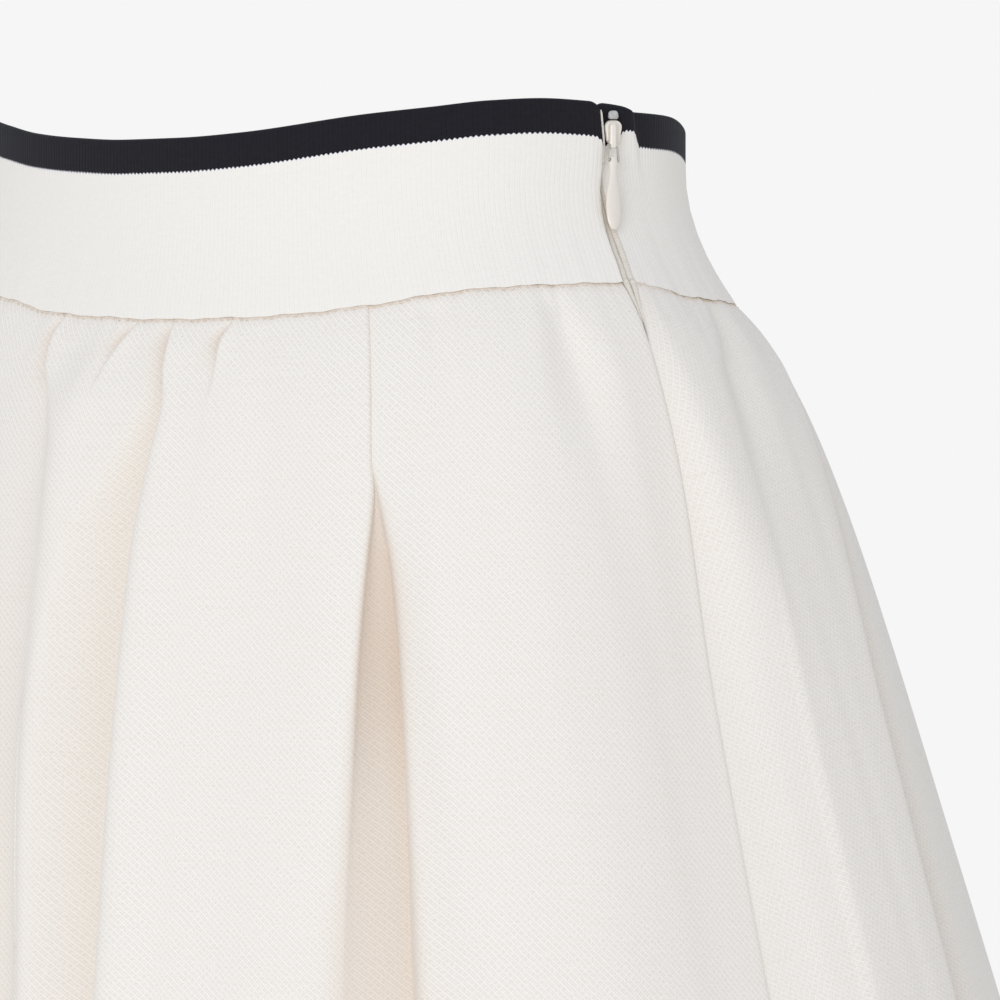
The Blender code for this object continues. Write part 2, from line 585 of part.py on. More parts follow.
def back_slide(turn, depth):
    """The zip opening, fading out within the back, and half the seam gap at the side."""
    away = (turn - ZIP.turn[0]) * skirt_ring(depth).per_degree(turn)
    width = opening_width(depth) - SEAM_GAP / 2
    at_side = np.isclose(turn, SIDE.turn[0] + 360.0)
    return width * np.exp(-away / OPENING_REACH) - SEAM_GAP / 2 * at_side


def waistband(mat, collection):
    turns = end_columns(ZIP_EDGES[0].back, ZIP_EDGES[0].front + 360.0, BAND_COLUMNS,
                        BAND_END_SHARE)
    turn, height = np.meshgrid(turns, BAND_ROWS)
    return cloth_sheet("waistband", band_points(turn, height), RIB, mat, collection)


def zip_tape(mat, collection):
    columns = np.linspace(-TAPE_HALF_WIDTH, TAPE_HALF_WIDTH, TAPE_COLUMNS + 1)
    across, level = np.meshgrid(columns, TAPE_LEVELS)
    return cloth_sheet("zip_tape", tape_points(across, level), TAPE, mat, collection)


def hardware_point(turn, z, out):
    """A point above the waistband's middle surface."""
    seam = float(waist_height(turn, "seam"))
    top = float(waist_height(turn, "top"))
    ring = band_ring(np.float64((z - seam) / (top - seam)))
    return Vector(place(ring, np.float64(turn), 0.0, out, z))


def frame_matrix(origin, up, outward):
    """Axes with x across, y outward and z up, at the origin."""
    z = up.normalized()
    x = outward.cross(z).normalized()
    y = z.cross(x)
    matrix = Matrix((x, y, z)).transposed().to_4x4()
    matrix.translation = origin
    return matrix


def zip_outward():
    nx, ny = band_ring(np.float64(1.0)).outward(np.float64(HARDWARE_TURN))
    return Vector((float(nx), float(ny), 0.0))


def select_only(obj):
    bpy.ops.object.select_all(action="DESELECT")
    obj.select_set(True)
    bpy.context.view_layer.objects.active = obj


def block(name, size, centre):
    """A box in the hardware's own axes, sizes in millimetres."""
    bpy.ops.mesh.primitive_cube_add(size=1.0)
    obj = bpy.context.object
    obj.name = name
    for vert in obj.data.vertices:
        vert.co = Vector(c * s * MM for c, s in zip(vert.co, size)) + Vector(centre) * MM
    return obj


def bevel(obj, width, segments=2):
    mod = obj.modifiers.new("rounding", "BEVEL")
    mod.width = width * MM
    mod.segments = segments
    return mod


def cross_hole(name, radius, length, centre):
    """A cutter along x."""
    bpy.ops.mesh.primitive_cylinder_add(vertices=16, radius=radius * MM, depth=length * MM,
                                        rotation=(0, math.pi / 2, 0),
                                        location=Vector(centre) * MM)
    obj = bpy.context.object
    obj.name = name
    return obj


def boolean(obj, other, operation):
    mod = obj.modifiers.new(operation.lower(), "BOOLEAN")
    mod.operation = operation
    mod.object = other
    other.hide_render = True
    other.display_type = "WIRE"
    return mod


def move_to(obj, collection):
    for old in list(obj.users_collection):
        old.objects.unlink(obj)
    collection.objects.link(obj)


def slider(mat, parts, cutters, matrix):
    """Slider body with a crown, whose cross hole holds the link. Its origin is that hole."""
    foot = SLIDER_FOOT_Z - PIVOT_Z
    back = SLIDER_BASE - PIVOT_OUT
    body = block("zip_slider", (SLIDER_WIDTH, SLIDER_THICKNESS, SLIDER_HEIGHT),
                 (0, back + SLIDER_THICKNESS / 2, foot + SLIDER_HEIGHT / 2))
    for vert in body.data.vertices:
        if vert.co.z < (foot + 0.1) * MM:
            vert.co.x *= SLIDER_FOOT_WIDTH / SLIDER_WIDTH
    bevel(body, SLIDER_ROUNDING, 3)
    crown = block("zip_crown", (CROWN_WIDTH, CROWN_DEPTH, SLIDER_HEIGHT + CROWN_EXTRA),
                  (0, 0, foot + SLIDER_HEIGHT / 2 - CROWN_DROP))
    bevel(crown, SMALL_ROUNDING, 3)
    hole = cross_hole("link_hole", EYE_RADIUS, CUTTER_LENGTH, (0, 0, 0))
    boolean(body, crown, "UNION")
    boolean(body, hole, "DIFFERENCE")
    body.data.materials.append(mat)
    for helper in (crown, hole):
        move_to(helper, cutters)
        helper.matrix_world = matrix @ helper.matrix_world
    move_to(body, parts)
    body.matrix_world = matrix
    body.data.shade_smooth()
    return body


def link(mat, parts, matrix):
    """Wire stirrup, a closed loop hanging from its upper bar, which is its origin."""
    corners = ((-LINK_TOP_HALF, 0), (LINK_TOP_HALF, 0),
               (LINK_FOOT_HALF, -LINK_DROP), (-LINK_FOOT_HALF, -LINK_DROP))
    curve = bpy.data.curves.new("zip_link", "CURVE")
    curve.dimensions = "3D"
    curve.bevel_depth = WIRE_RADIUS * MM
    curve.bevel_resolution = 2
    spline = curve.splines.new("POLY")
    round_steps = 3
    corner_round = 0.5
    points = []
    for i, corner in enumerate(corners):
        here = Vector(corner)
        before = (Vector(corners[i - 1]) - here).normalized() * corner_round
        after = (Vector(corners[(i + 1) % 4]) - here).normalized() * corner_round
        for k in range(round_steps + 1):
            t = k / round_steps
            points.append(here + before * (1 - t) ** 2 + after * t ** 2)
    spline.points.add(len(points) - 1)
    for target, p in zip(spline.points, points):
        target.co = (p.x * MM, 0, p.y * MM, 1)
    spline.use_cyclic_u = True
    curve.materials.append(mat)
    obj = bpy.data.objects.new("zip_link", curve)
    parts.objects.link(obj)
    obj.matrix_world = matrix
    return obj


def pull(mat, parts, cutters, matrix):
    """Teardrop pull lofted through oval sections, with a cross eye at its origin."""
    bm = bmesh.new()
    rings = []
    for row in PULL_SECTIONS:
        ring = []
        for k in range(PULL_SIDES):
            a = 2 * math.pi * k / PULL_SIDES
            ring.append(bm.verts.new((row.half_width * math.cos(a) * MM,
                                      row.half_thickness * math.sin(a) * MM, -row.drop * MM)))
        rings.append(ring)
    for upper, lower in zip(rings, rings[1:]):
        for k in range(PULL_SIDES):
            n = (k + 1) % PULL_SIDES
            bm.faces.new((upper[k], lower[k], lower[n], upper[n]))
    bm.faces.new(rings[0])
    bm.faces.new(reversed(rings[-1]))
    bmesh.ops.recalc_face_normals(bm, faces=bm.faces)
    mesh = bpy.data.meshes.new("zip_pull")
    bm.to_mesh(mesh)
    bm.free()
    mesh.shade_smooth()
    obj = add_object("zip_pull", mesh, mat, parts)
    eye = cross_hole("pull_eye", EYE_RADIUS, CUTTER_LENGTH, (0, 0, 0))
    boolean(obj, eye, "DIFFERENCE")
    move_to(eye, cutters)
    eye.matrix_world = matrix @ eye.matrix_world
    obj.matrix_world = matrix
    return obj


def top_stop(mat, parts, matrix):
    foot = SLIDER_FOOT_Z + SLIDER_HEIGHT - PIVOT_Z + SEAM_GAP
    stop = block("zip_top_stop", (STOP_WIDTH, STOP_THICKNESS, STOP_HEIGHT),
                 (STOP_ASIDE, SLIDER_BASE - PIVOT_OUT + STOP_THICKNESS / 2, foot + STOP_HEIGHT / 2))
    bevel(stop, SMALL_ROUNDING, 2)
    stop.data.materials.append(mat)
    move_to(stop, parts)
    stop.matrix_world = matrix
    stop.data.shade_smooth()
    return stop


def main():
    for obj in list(bpy.data.objects):
        bpy.data.objects.remove(obj, do_unlink=True)
    parts = bpy.data.collections.new("flared_skirt")
    cutters = bpy.data.collections.new("cutters")
    for collection in (parts, cutters):
        bpy.context.scene.collection.children.link(collection)

    cloth = material(IVORY_CLOTH)
    enamel = material(ENAMEL_CREAM)
    front = fine_columns(SIDE.turn[0], ZIP.turn[0], FRONT_COLUMNS)
    back = fine_columns(ZIP.turn[0], SIDE.turn[0] + 360.0, BACK_COLUMNS)
    skirt_panel("skirt_front", front, front_slide, cloth, parts)
    skirt_panel("skirt_back", back, back_slide, cloth, parts)
    waistband(material(IVORY_RIB), parts)
    zip_tape(material(TAPE_IVORY), parts)

    outward = zip_outward()
    pivot = hardware_point(HARDWARE_TURN, PIVOT_Z, PIVOT_OUT)
    tip = hardware_point(PULL_TIP_TURN, PULL_TIP_Z, PULL_TIP_OUT)
    hanging = frame_matrix(pivot, pivot - tip, outward)
    eye = hanging @ Vector((0, 0, -LINK_DROP * MM))
    upright = frame_matrix(pivot, Vector((0, 0, 1)), outward)
    slider(enamel, parts, cutters, upright)
    top_stop(material(STOP_WHITE), parts, upright)
    link(material(WIRE_GREY), parts, hanging)
    pull(enamel, parts, cutters, Matrix.Translation(eye - pivot) @ hanging)


main()
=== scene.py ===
import math
import bmesh
import bpy
import numpy as np
from mathutils import Matrix, Vector


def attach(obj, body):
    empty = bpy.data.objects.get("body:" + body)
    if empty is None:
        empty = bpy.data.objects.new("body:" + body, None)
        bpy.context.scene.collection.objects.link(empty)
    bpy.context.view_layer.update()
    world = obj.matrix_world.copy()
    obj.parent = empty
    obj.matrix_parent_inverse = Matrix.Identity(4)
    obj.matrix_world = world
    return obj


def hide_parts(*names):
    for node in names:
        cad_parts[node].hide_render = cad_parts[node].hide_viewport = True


# An ivory flared skirt with a rib-knit waistband, worn shape with nobody in it.
# Turn goes round the body in degrees: 0 centre front, 90 the wearer's left, 180 the back.
# Tables and sizes are in millimetres; the sheets' cuts and the studio's lights and floor radius
# are in metres.

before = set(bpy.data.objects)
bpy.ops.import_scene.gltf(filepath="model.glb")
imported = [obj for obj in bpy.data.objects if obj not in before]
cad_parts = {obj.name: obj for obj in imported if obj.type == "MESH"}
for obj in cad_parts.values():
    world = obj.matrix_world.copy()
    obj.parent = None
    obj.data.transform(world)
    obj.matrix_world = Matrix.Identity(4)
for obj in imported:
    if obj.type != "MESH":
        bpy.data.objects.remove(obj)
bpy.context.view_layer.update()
bpy.ops.object.select_all(action="DESELECT")
mm = 0.001


seamRing = dict(halfWidth=140.0, front=97.0, back=102.0)
topRing = dict(halfWidth=124.0, front=89.0, back=86.0)
bandShape = dict(height=58.0, upright=43.0, flarePower=1.9, thickness=2.0)
skirtShape = dict(length=390.0, hemZ=-415.0, puff=16.5, puffFront=10.0, puffDepth=25.0,
                  flare=0.304, flareFront=0.20, thickness=1.0, seamGap=0.3, seamWaver=0.16)

# height of the band's upper edge and of the waist seam, by turn
waistTop = dict(turn=(-180, -150, -120, -95, -75, -55, -40, -30, -20, -10, 0, 10, 20, 40, 50,
                      60, 70, 80, 84, 88, 91.5, 95, 104, 109, 115, 125, 150, 180),
                at=(21.5, 22.0, 23.0, 26.0, 30.5, 32.0, 31.0, 28.4, 25.3, 23.5, 22.5, 22.7, 23.9,
                    29.0, 31.0, 33.0, 33.8, 33.1, 32.7, 31.9, 30.3, 30.1, 29.6, 28.8, 27.2,
                    25.0, 22.5, 21.5))
waistSeam = dict(turn=(-180, -150, -120, -95, -75, -55, -40, -30, -20, -10, 0, 10, 20, 40, 50,
                       60, 80, 95, 115, 150, 180),
                 at=(-30.0, -29.0, -27.0, -24.0, -21.5, -20.5, -21.5, -22.8, -24.9, -29.2, -31.0,
                     -31.7, -31.4, -27.5, -23.8, -22.2, -20.9, -25.0, -26.8, -29.0, -30.0))

# Folds, each with one value at every depth in foldDepths: its turn, the rise of its step,
# the lap of one side over the other, its reach on the upper and on the lower side, and half
# the width of the step. over: 1 the lower-turn side on top, -1 the other side, 0 a soft
# hollow, whose reach is given for its lower-turn and its higher-turn side.
foldDepths = (0, 8, 24, 60, 120, 210, 390)
seamDepths = (0, 7, 14, 24, 40, 70, 120, 210, 390)    # for folds that change fast at the seam
pleatDepths = (0, 8, 24, 45, 53, 74, 90, 120, 210, 390)
noLap = (0, 0, 0, 0, 0, 0, 0)
roundStep = (4, 4, 4, 4, 4, 4, 4)
shownFolds = [
    dict(name="tuckRightOfCentre", over=-1, turn=(-21.5, -21.2, -21.0, -20.0, -18.8, -17.6, -16.0),
         rise=(0.8, 4.2, 6.0, 8.0, 10.0, 10.0, 12.0), lap=(0.0, 1.8, 1.2, 0.4, 0.0, 0.0, 0.0),
         upper=(5, 7, 12, 16, 20, 26, 40), lower=(4, 6, 12, 22, 32, 36, 44),
         soft=(0.9, 0.9, 1.5, 2.9, 3.8, 5.2, 8.0)),
    dict(name="longFoldByCentre", over=-1, depths=seamDepths,
         turn=(-7.2, -7.2, -7.0, -5.2, -2.6, -1.6, -0.8, 2.8, 8.0),
         rise=(0.8, 6.0, 5.6, 4.0, 3.2, 3.6, 5.4, 10.0, 15.0),
         lap=(0.2, 1.1, 0.9, 0.3, 0.0, 0.0, 0.0, 0.0, 0.0),
         upper=(5, 7, 8, 10, 12, 14, 16, 20, 34), lower=(4, 7, 9, 11, 18, 26, 32, 32, 40),
         soft=(0.8, 0.8, 1.6, 3.2, 5.6, 6.0, 6.0, 6.0, 7.0),
         line=(0.8, 1.6, 1.0, 0.2, 0, 0, 0, 0, 0)),
    dict(name="roundRidgeByCentre", over=0, depths=seamDepths,
         turn=(1.5, 1.3, 0.8, 0.1, -0.7, -0.9, -0.9, 3.0, 8.0),
         rise=(0.0, -0.6, -1.9, -3.2, -2.8, -1.5, -0.5, 0.0, 0.0),
         lap=(0, 0, 0, 0, 0, 0, 0, 0, 0), soft=(4, 4, 4, 4, 4, 4, 4, 4, 4),
         upper=(8, 8, 9, 9, 9, 9, 9, 9, 9), lower=(9, 10, 13, 17, 17, 16, 16, 16, 16)),
    dict(name="shortTuckAtCentre", over=-1, depths=seamDepths,
         turn=(5.3, 4.3, 2.9, 2.0, 1.6, 1.4, 2.0, 4.5, 8.5),
         rise=(0.8, 5.6, 2.0, 0.2, 0.0, 0.0, 0.0, 0.0, 0.0),
         lap=(0.2, 1.1, 0.8, 0.0, 0.0, 0.0, 0.0, 0.0, 0.0),
         upper=(4, 5, 6, 8, 10, 10, 10, 10, 10), lower=(4, 6, 6, 8, 12, 12, 12, 12, 12),
         soft=(0.8, 0.7, 1.0, 2.4, 3.0, 3.0, 3.0, 3.4, 4.0),
         line=(0.5, 1.6, 0.7, 0, 0, 0, 0, 0, 0)),
    dict(name="longFoldLeftOfCentre", over=-1, depths=seamDepths,
         turn=(10.9, 11.4, 11.5, 11.8, 10.9, 9.7, 9.9, 10.9, 12.0),
         rise=(0.8, 6.0, 7.4, 9.0, 14.0, 22.0, 26.0, 21.0, 19.0),
         lap=(0.2, 1.1, 1.3, 0.8, 0.4, 0.2, 0.2, 0.3, 0.3),
         upper=(4, 6, 6, 8, 9, 12, 14, 18, 30), lower=(4, 7, 8, 9, 14, 25, 32, 30, 38),
         soft=(0.8, 0.8, 1.1, 2.2, 3.6, 5.2, 5.2, 5.0, 6.0),
         line=(0.6, 1.3, 0.9, 0.3, 0, 0, 0, 0, 0)),
    dict(name="shortTuckLeftOfCentre", over=-1, depths=seamDepths,
         turn=(19.8, 18.8, 18.3, 17.6, 17.2, 17.0, 17.2, 17.4, 18.0),
         rise=(0.8, 5.6, 2.4, 0.3, 0.0, 0.0, 0.0, 0.0, 0.0),
         lap=(0.2, 1.1, 1.0, 0.0, 0.0, 0.0, 0.0, 0.0, 0.0),
         upper=(4, 5, 6, 8, 10, 10, 10, 10, 10), lower=(4, 6, 6, 8, 12, 12, 12, 12, 12),
         soft=(0.8, 0.7, 1.0, 2.4, 3.0, 3.0, 3.0, 3.4, 4.0),
         line=(0.4, 1.5, 1.1, 0, 0, 0, 0, 0, 0)),
    dict(name="softDent", over=0, turn=(25.5, 25.3, 25.0, 24.6, 23.6, 22.5, 22.5),
         rise=(0.0, 0.3, 1.2, 1.8, 1.4, 0.8, 0.0), lap=noLap,
         upper=(6, 6, 8, 12, 16, 18, 18), lower=(6, 6, 8, 12, 16, 18, 18),
         soft=roundStep),
    dict(name="pleatEdge", over=1, pleat=0, depths=pleatDepths,
         turn=(38.6, 38.4, 38.0, 37.6, 37.5, 36.6, 36.0, 35.2, 33.8, 33.0),
         rise=(0.8, 0.9, 0.9, 1.0, 1.6, 2.8, 3.2, 3.2, 0.8, 0.5),
         lap=(0.4, 0.5, 0.5, 0.5, 0.5, 0.6, 0.6, 0.6, 0.5, 0.4),
         upper=(6, 8, 10, 12, 12, 13, 13, 14, 16, 20), lower=(6, 7, 8, 7, 7, 8, 10, 15, 20, 24),
         soft=(0.8, 0.8, 0.8, 0.8, 0.8, 0.9, 1.0, 1.5, 4.6, 6.0),
         line=(1.0, 1.5, 1.5, 1.2, 0.4, 0, 0, 0, 0, 0)),
    dict(name="pleatCrease", over=-1, pleat=0, depths=pleatDepths,
         turn=(38.9, 38.8, 38.6, 38.2, 38.5, 39.4, 39.7, 39.9, 40.0, 40.2),
         rise=(0.0, 0.0, 0.0, 0.0, 1.4, 9.5, 15.0, 22.0, 22.0, 25.0),
         lap=(0.0, 0.0, 0.0, 0.0, 0.3, 0.5, 0.6, 0.8, 0.6, 0.4),
         upper=(6, 6, 8, 8, 8, 8, 8, 9, 14, 24), lower=(4, 4, 4, 4, 5, 8, 11, 15, 24, 32),
         soft=(1.2, 1.2, 1.2, 1.2, 1.4, 2.6, 3.2, 3.4, 4.6, 6.0)),
    dict(name="softGatherFront", over=0, turn=(47.5, 47.2, 46.2, 45.5, 45.0, 45.0, 45.0),
         rise=(0.3, 1.4, 1.3, 0.8, 0.2, 0.0, 0.0), lap=noLap,
         upper=(4, 4, 6, 9, 9, 9, 9), lower=(4, 4, 6, 9, 9, 9, 9),
         soft=roundStep),
    dict(name="softGatherSide", over=0, turn=(65.0, 64.9, 64.8, 65.2, 66.0, 66.0, 66.0),
         rise=(0.3, 2.4, 4.8, 2.0, 0.0, 0.0, 0.0), lap=noLap,
         upper=(5, 5, 8, 11, 16, 16, 16), lower=(5, 5, 8, 11, 16, 16, 16),
         soft=roundStep),
    dict(name="zipValley", over=0, turn=(78.3, 78.3, 78.3, 78.8, 78.2, 77.8, 78.4),
         rise=(0.2, 0.6, 3.0, 8.5, 14.0, 15.0, 16.0), lap=noLap,
         upper=(8, 10, 14, 28, 40, 44, 46), lower=(4, 5, 6, 9, 22, 27, 30),
         soft=roundStep),
    dict(name="zipSeam", over=1, turn=(78.5, 78.5, 78.5, 79.0, 78.4, 78.0, 78.6),
         rise=(0.8, 1.2, 1.6, 1.6, 1.4, 1.2, 1.2), lap=(0.0, 0.0, 0.3, 0.5, 0.5, 0.3, 0.3),
         upper=(6, 8, 10, 12, 14, 14, 16), lower=(5, 7, 8, 10, 12, 14, 16),
         soft=(1.5, 1.5, 1.6, 1.7, 1.9, 2.1, 2.5)),
    dict(name="softValleyBack", over=0, turn=(100.5, 99.8, 95.8, 94.0, 94.0, 94.0, 93.5),
         rise=(0.6, 3.2, 3.8, 2.0, 0.6, 0.0, 0.0), lap=noLap,
         upper=(4, 5, 6, 8, 12, 12, 12), lower=(5, 6, 9, 12, 12, 12, 12),
         soft=roundStep),
    dict(name="longFoldBack", over=1, turn=(121.0, 120.0, 114.8, 109.2, 104.4, 103.0, 101.5),
         rise=(0.8, 3.4, 5.2, 7.0, 9.5, 10.5, 13.0), lap=(0.0, 1.4, 1.0, 0.8, 0.8, 0.8, 0.5),
         upper=(5, 7, 11, 14, 18, 22, 28), lower=(6, 8, 10, 13, 17, 20, 30),
         soft=(1.0, 1.0, 1.1, 1.3, 1.7, 2.3, 3.6)),
]
# folds out of sight: the shown fold each is like, the way it runs, where it is counted
# from, its own shift and size
hiddenFolds = [
    dict(like="pleatEdge", way=-1, about=0, shift=-0.6, size=0.95),
    dict(like="pleatCrease", way=-1, about=0, shift=-0.6, size=0.8),
    dict(like="softGatherFront", way=-1, about=0, shift=-2.0, size=1.1),
    dict(like="softGatherSide", way=-1, about=0, shift=1.5, size=0.9),
    dict(like="zipValley", way=-1, about=0, shift=0.0, size=0.8),
    dict(like="zipSeam", way=-1, about=0, shift=0.0, size=0.8, name="sideSeam"),
    dict(like="softValleyBack", way=-1, about=0, shift=-1.5, size=1.2),
    dict(like="longFoldBack", way=-1, about=0, shift=-2.0, size=1.1),
    dict(like="pleatEdge", way=-1, about=180, shift=1.0, size=1.0),
    dict(like="pleatCrease", way=-1, about=180, shift=1.0, size=0.85),
    dict(like="shortTuckLeftOfCentre", way=-1, about=180, shift=-2.0, size=0.9),
    dict(like="longFoldLeftOfCentre", way=-1, about=180, shift=1.5, size=0.9),
    dict(like="shortTuckAtCentre", way=-1, about=180, shift=-3.0, size=1.1),
    dict(like="longFoldLeftOfCentre", way=1, about=-180, shift=1.0, size=0.75),
    dict(like="shortTuckLeftOfCentre", way=1, about=-180, shift=2.5, size=1.1),
    dict(like="pleatEdge", way=1, about=-180, shift=0.5, size=0.95),
    dict(like="pleatCrease", way=1, about=-180, shift=0.5, size=0.9),
]
# How a step lies: the share of its rise that stands up on the upper side, the power of the ramp
# on the lower side, the cloth drawn in per softness and its reach, and the groove of a tuck
stepShape = dict(topShare=0.25, rampPower=1.5, softGather=0.35, lapReach=9.0,
                 grooveShift=0.3, grooveWidth=0.8)
# How much warm shade is painted into the cloth's colour inside a fold: its share everywhere and near the
# seam, the rise that counts as full, and the same for the pleats, by depth, and its share and reach along the
# seam line
paintedShadeAmounts = dict(share=0.30, seamShare=0.55, seamDepth=14.0, fullRise=6.0, pleatRise=3.0,
                pleatStart=1.2, pleatDepth=(55.0, 75.0, 100.0, 145.0),
                pleatShare=(0.5, 0.8, 0.8, 0.45), lineShare=0.6, lineDepth=0.9)

# the two ends of the band at the zip, by share of its height
zipEdges = dict(height=(0.00, 0.12, 0.25, 0.50, 0.75, 1.00),
                front=(78.5, 79.0, 79.2, 80.3, 82.0, 81.3),
                back=(81.0, 82.0, 82.4, 82.3, 82.2, 81.5),
                frontOut=(0.4, 0.5, 0.6, 0.6, 0.6, 0.6),
                backIn=(0.6, 0.8, 1.1, 1.6, 2.2, 2.4))
bandEnds = dict(frontReach=8.0, backReach=12.0, frontLean=20.0, backLean=14.0, corner=3.5,
                cornerShare=0.8)
bandTuck = dict(top=90.2, low=93.6, rise=1.5, fade=0.6, power=0.7, soft=0.6, reach=9.0)
opening = dict(width=4.2, depth=19.0, power=1.3)    # the slit that stays open under the seam


def smooth(xs, ys, at):
    # a smooth curve through the points that never overshoots them
    xs = np.asarray(xs, dtype=float)
    ys = np.asarray(ys, dtype=float)
    steps = np.diff(xs)
    rates = np.diff(ys) / steps
    product = rates[:-1] * rates[1:]
    total = np.where(product > 0, rates[:-1] + rates[1:], 1.0)
    slopes = np.zeros(len(xs))
    slopes[1:-1] = np.where(product > 0, 2.0 * product / total, 0.0)
    slopes[-1] = rates[-1] if rates[-1] * slopes[-2] > 0 else 0.0
    at = np.clip(at, xs[0], xs[-1])
    i = np.clip(np.searchsorted(xs, at, side="right") - 1, 0, len(xs) - 2)
    h = steps[i]
    t = (at - xs[i]) / h
    return (ys[i] * (1 + 2 * t) * (1 - t) ** 2 + h * slopes[i] * t * (1 - t) ** 2
            + ys[i + 1] * t * t * (3 - 2 * t) - h * slopes[i + 1] * t * t * (1 - t))


def wrap(turn):
    return (turn + 180.0) % 360.0 - 180.0


def topHeight(turn):
    return smooth(waistTop["turn"], waistTop["at"], wrap(turn))


def seamHeight(turn):
    # the sewn line wavers a little
    a = np.radians(wrap(turn))
    waver = np.sin(41 * a + 0.7) + 0.6 * np.sin(97 * a) + 0.5 * np.sin(17 * a + 2.0)
    return smooth(waistSeam["turn"], waistSeam["at"], wrap(turn)) + skirtShape["seamWaver"] * waver


def foldAt(fold, key, depth):
    return smooth(fold.get("depths", foldDepths), fold[key], depth)


def zipEdge(height, name):
    return smooth(zipEdges["height"], zipEdges[name], height)


def likeFold(row):
    model = next(f for f in shownFolds if f["name"] == row["like"])
    fold = dict(model, name=row.get("name", row["like"] + "Hidden"))
    fold["over"] = row["way"] * model["over"]
    fold["turn"] = tuple(row["about"] + row["way"] * t + row["shift"] for t in model["turn"])
    fold["rise"] = tuple(r * row["size"] for r in model["rise"])
    if "pleat" in model:
        fold["pleat"] = row["way"] * (2 + row["about"])
    if row["way"] < 0 and model["over"] == 0:
        fold["upper"], fold["lower"] = model["lower"], model["upper"]
    return fold


folds = sorted(shownFolds + [likeFold(row) for row in hiddenFolds],
               key=lambda fold: wrap(fold["turn"][0]))
zipFold = next(f for f in folds if f["name"] == "zipSeam")
sideFold = next(f for f in folds if f["name"] == "sideSeam")


# A ring is (half width, half depth to the front, half depth to the back).
def halfDepth(ring, turn):
    return np.where(np.cos(np.radians(turn)) > 0, ring[1], ring[2])


def ringPoint(ring, turn):
    a = np.radians(turn)
    return ring[0] * np.sin(a), -halfDepth(ring, turn) * np.cos(a)


def ringOutward(ring, turn):
    a = np.radians(turn)
    nx = halfDepth(ring, turn) * np.sin(a)
    ny = -ring[0] * np.cos(a)
    length = np.hypot(nx, ny)
    return nx / length, ny / length


def perDegree(ring, turn):
    a = np.radians(turn)
    return np.hypot(ring[0] * np.cos(a), halfDepth(ring, turn) * np.sin(a)) * math.pi / 180


def skirtRing(depth):
    puff = 1.0 - np.exp(-depth / skirtShape["puffDepth"])
    side = skirtShape["puff"] * puff + skirtShape["flare"] * depth
    front = skirtShape["puffFront"] * puff + skirtShape["flareFront"] * depth
    return seamRing["halfWidth"] + side, seamRing["front"] + front, seamRing["back"] + side


def bandRing(height):
    rest = np.clip(1.0 - bandShape["height"] * height / bandShape["upright"], 0.0, 1.0)
    f = rest ** bandShape["flarePower"]
    return tuple(topRing[k] + (seamRing[k] - topRing[k]) * f for k in ("halfWidth", "front", "back"))


def place(ring, turn, along, out, z):
    turn = turn + along / perDegree(ring, turn)
    x, y = ringPoint(ring, turn)
    nx, ny = ringOutward(ring, turn)
    return np.stack([(x + nx * out) * mm, (y + ny * out) * mm, (z + 0 * x) * mm], axis=-1)


def foldPath(turn, depth):
    starts = [wrap(f["turn"][0]) for f in folds]
    drifts = [foldAt(f, "turn", depth) - f["turn"][0] for f in folds]
    starts = [starts[-1] - 360.0] + starts + [starts[0] + 360.0]
    drifts = [drifts[-1]] + drifts + [drifts[0]]
    drift = np.zeros(turn.shape)
    at = wrap(turn)
    for i in range(len(starts) - 1):
        inside = (at >= starts[i]) & (at < starts[i + 1])
        share = (at - starts[i]) / (starts[i + 1] - starts[i])
        drift = np.where(inside, drifts[i] * (1 - share) + drifts[i + 1] * share, drift)
    return turn + drift


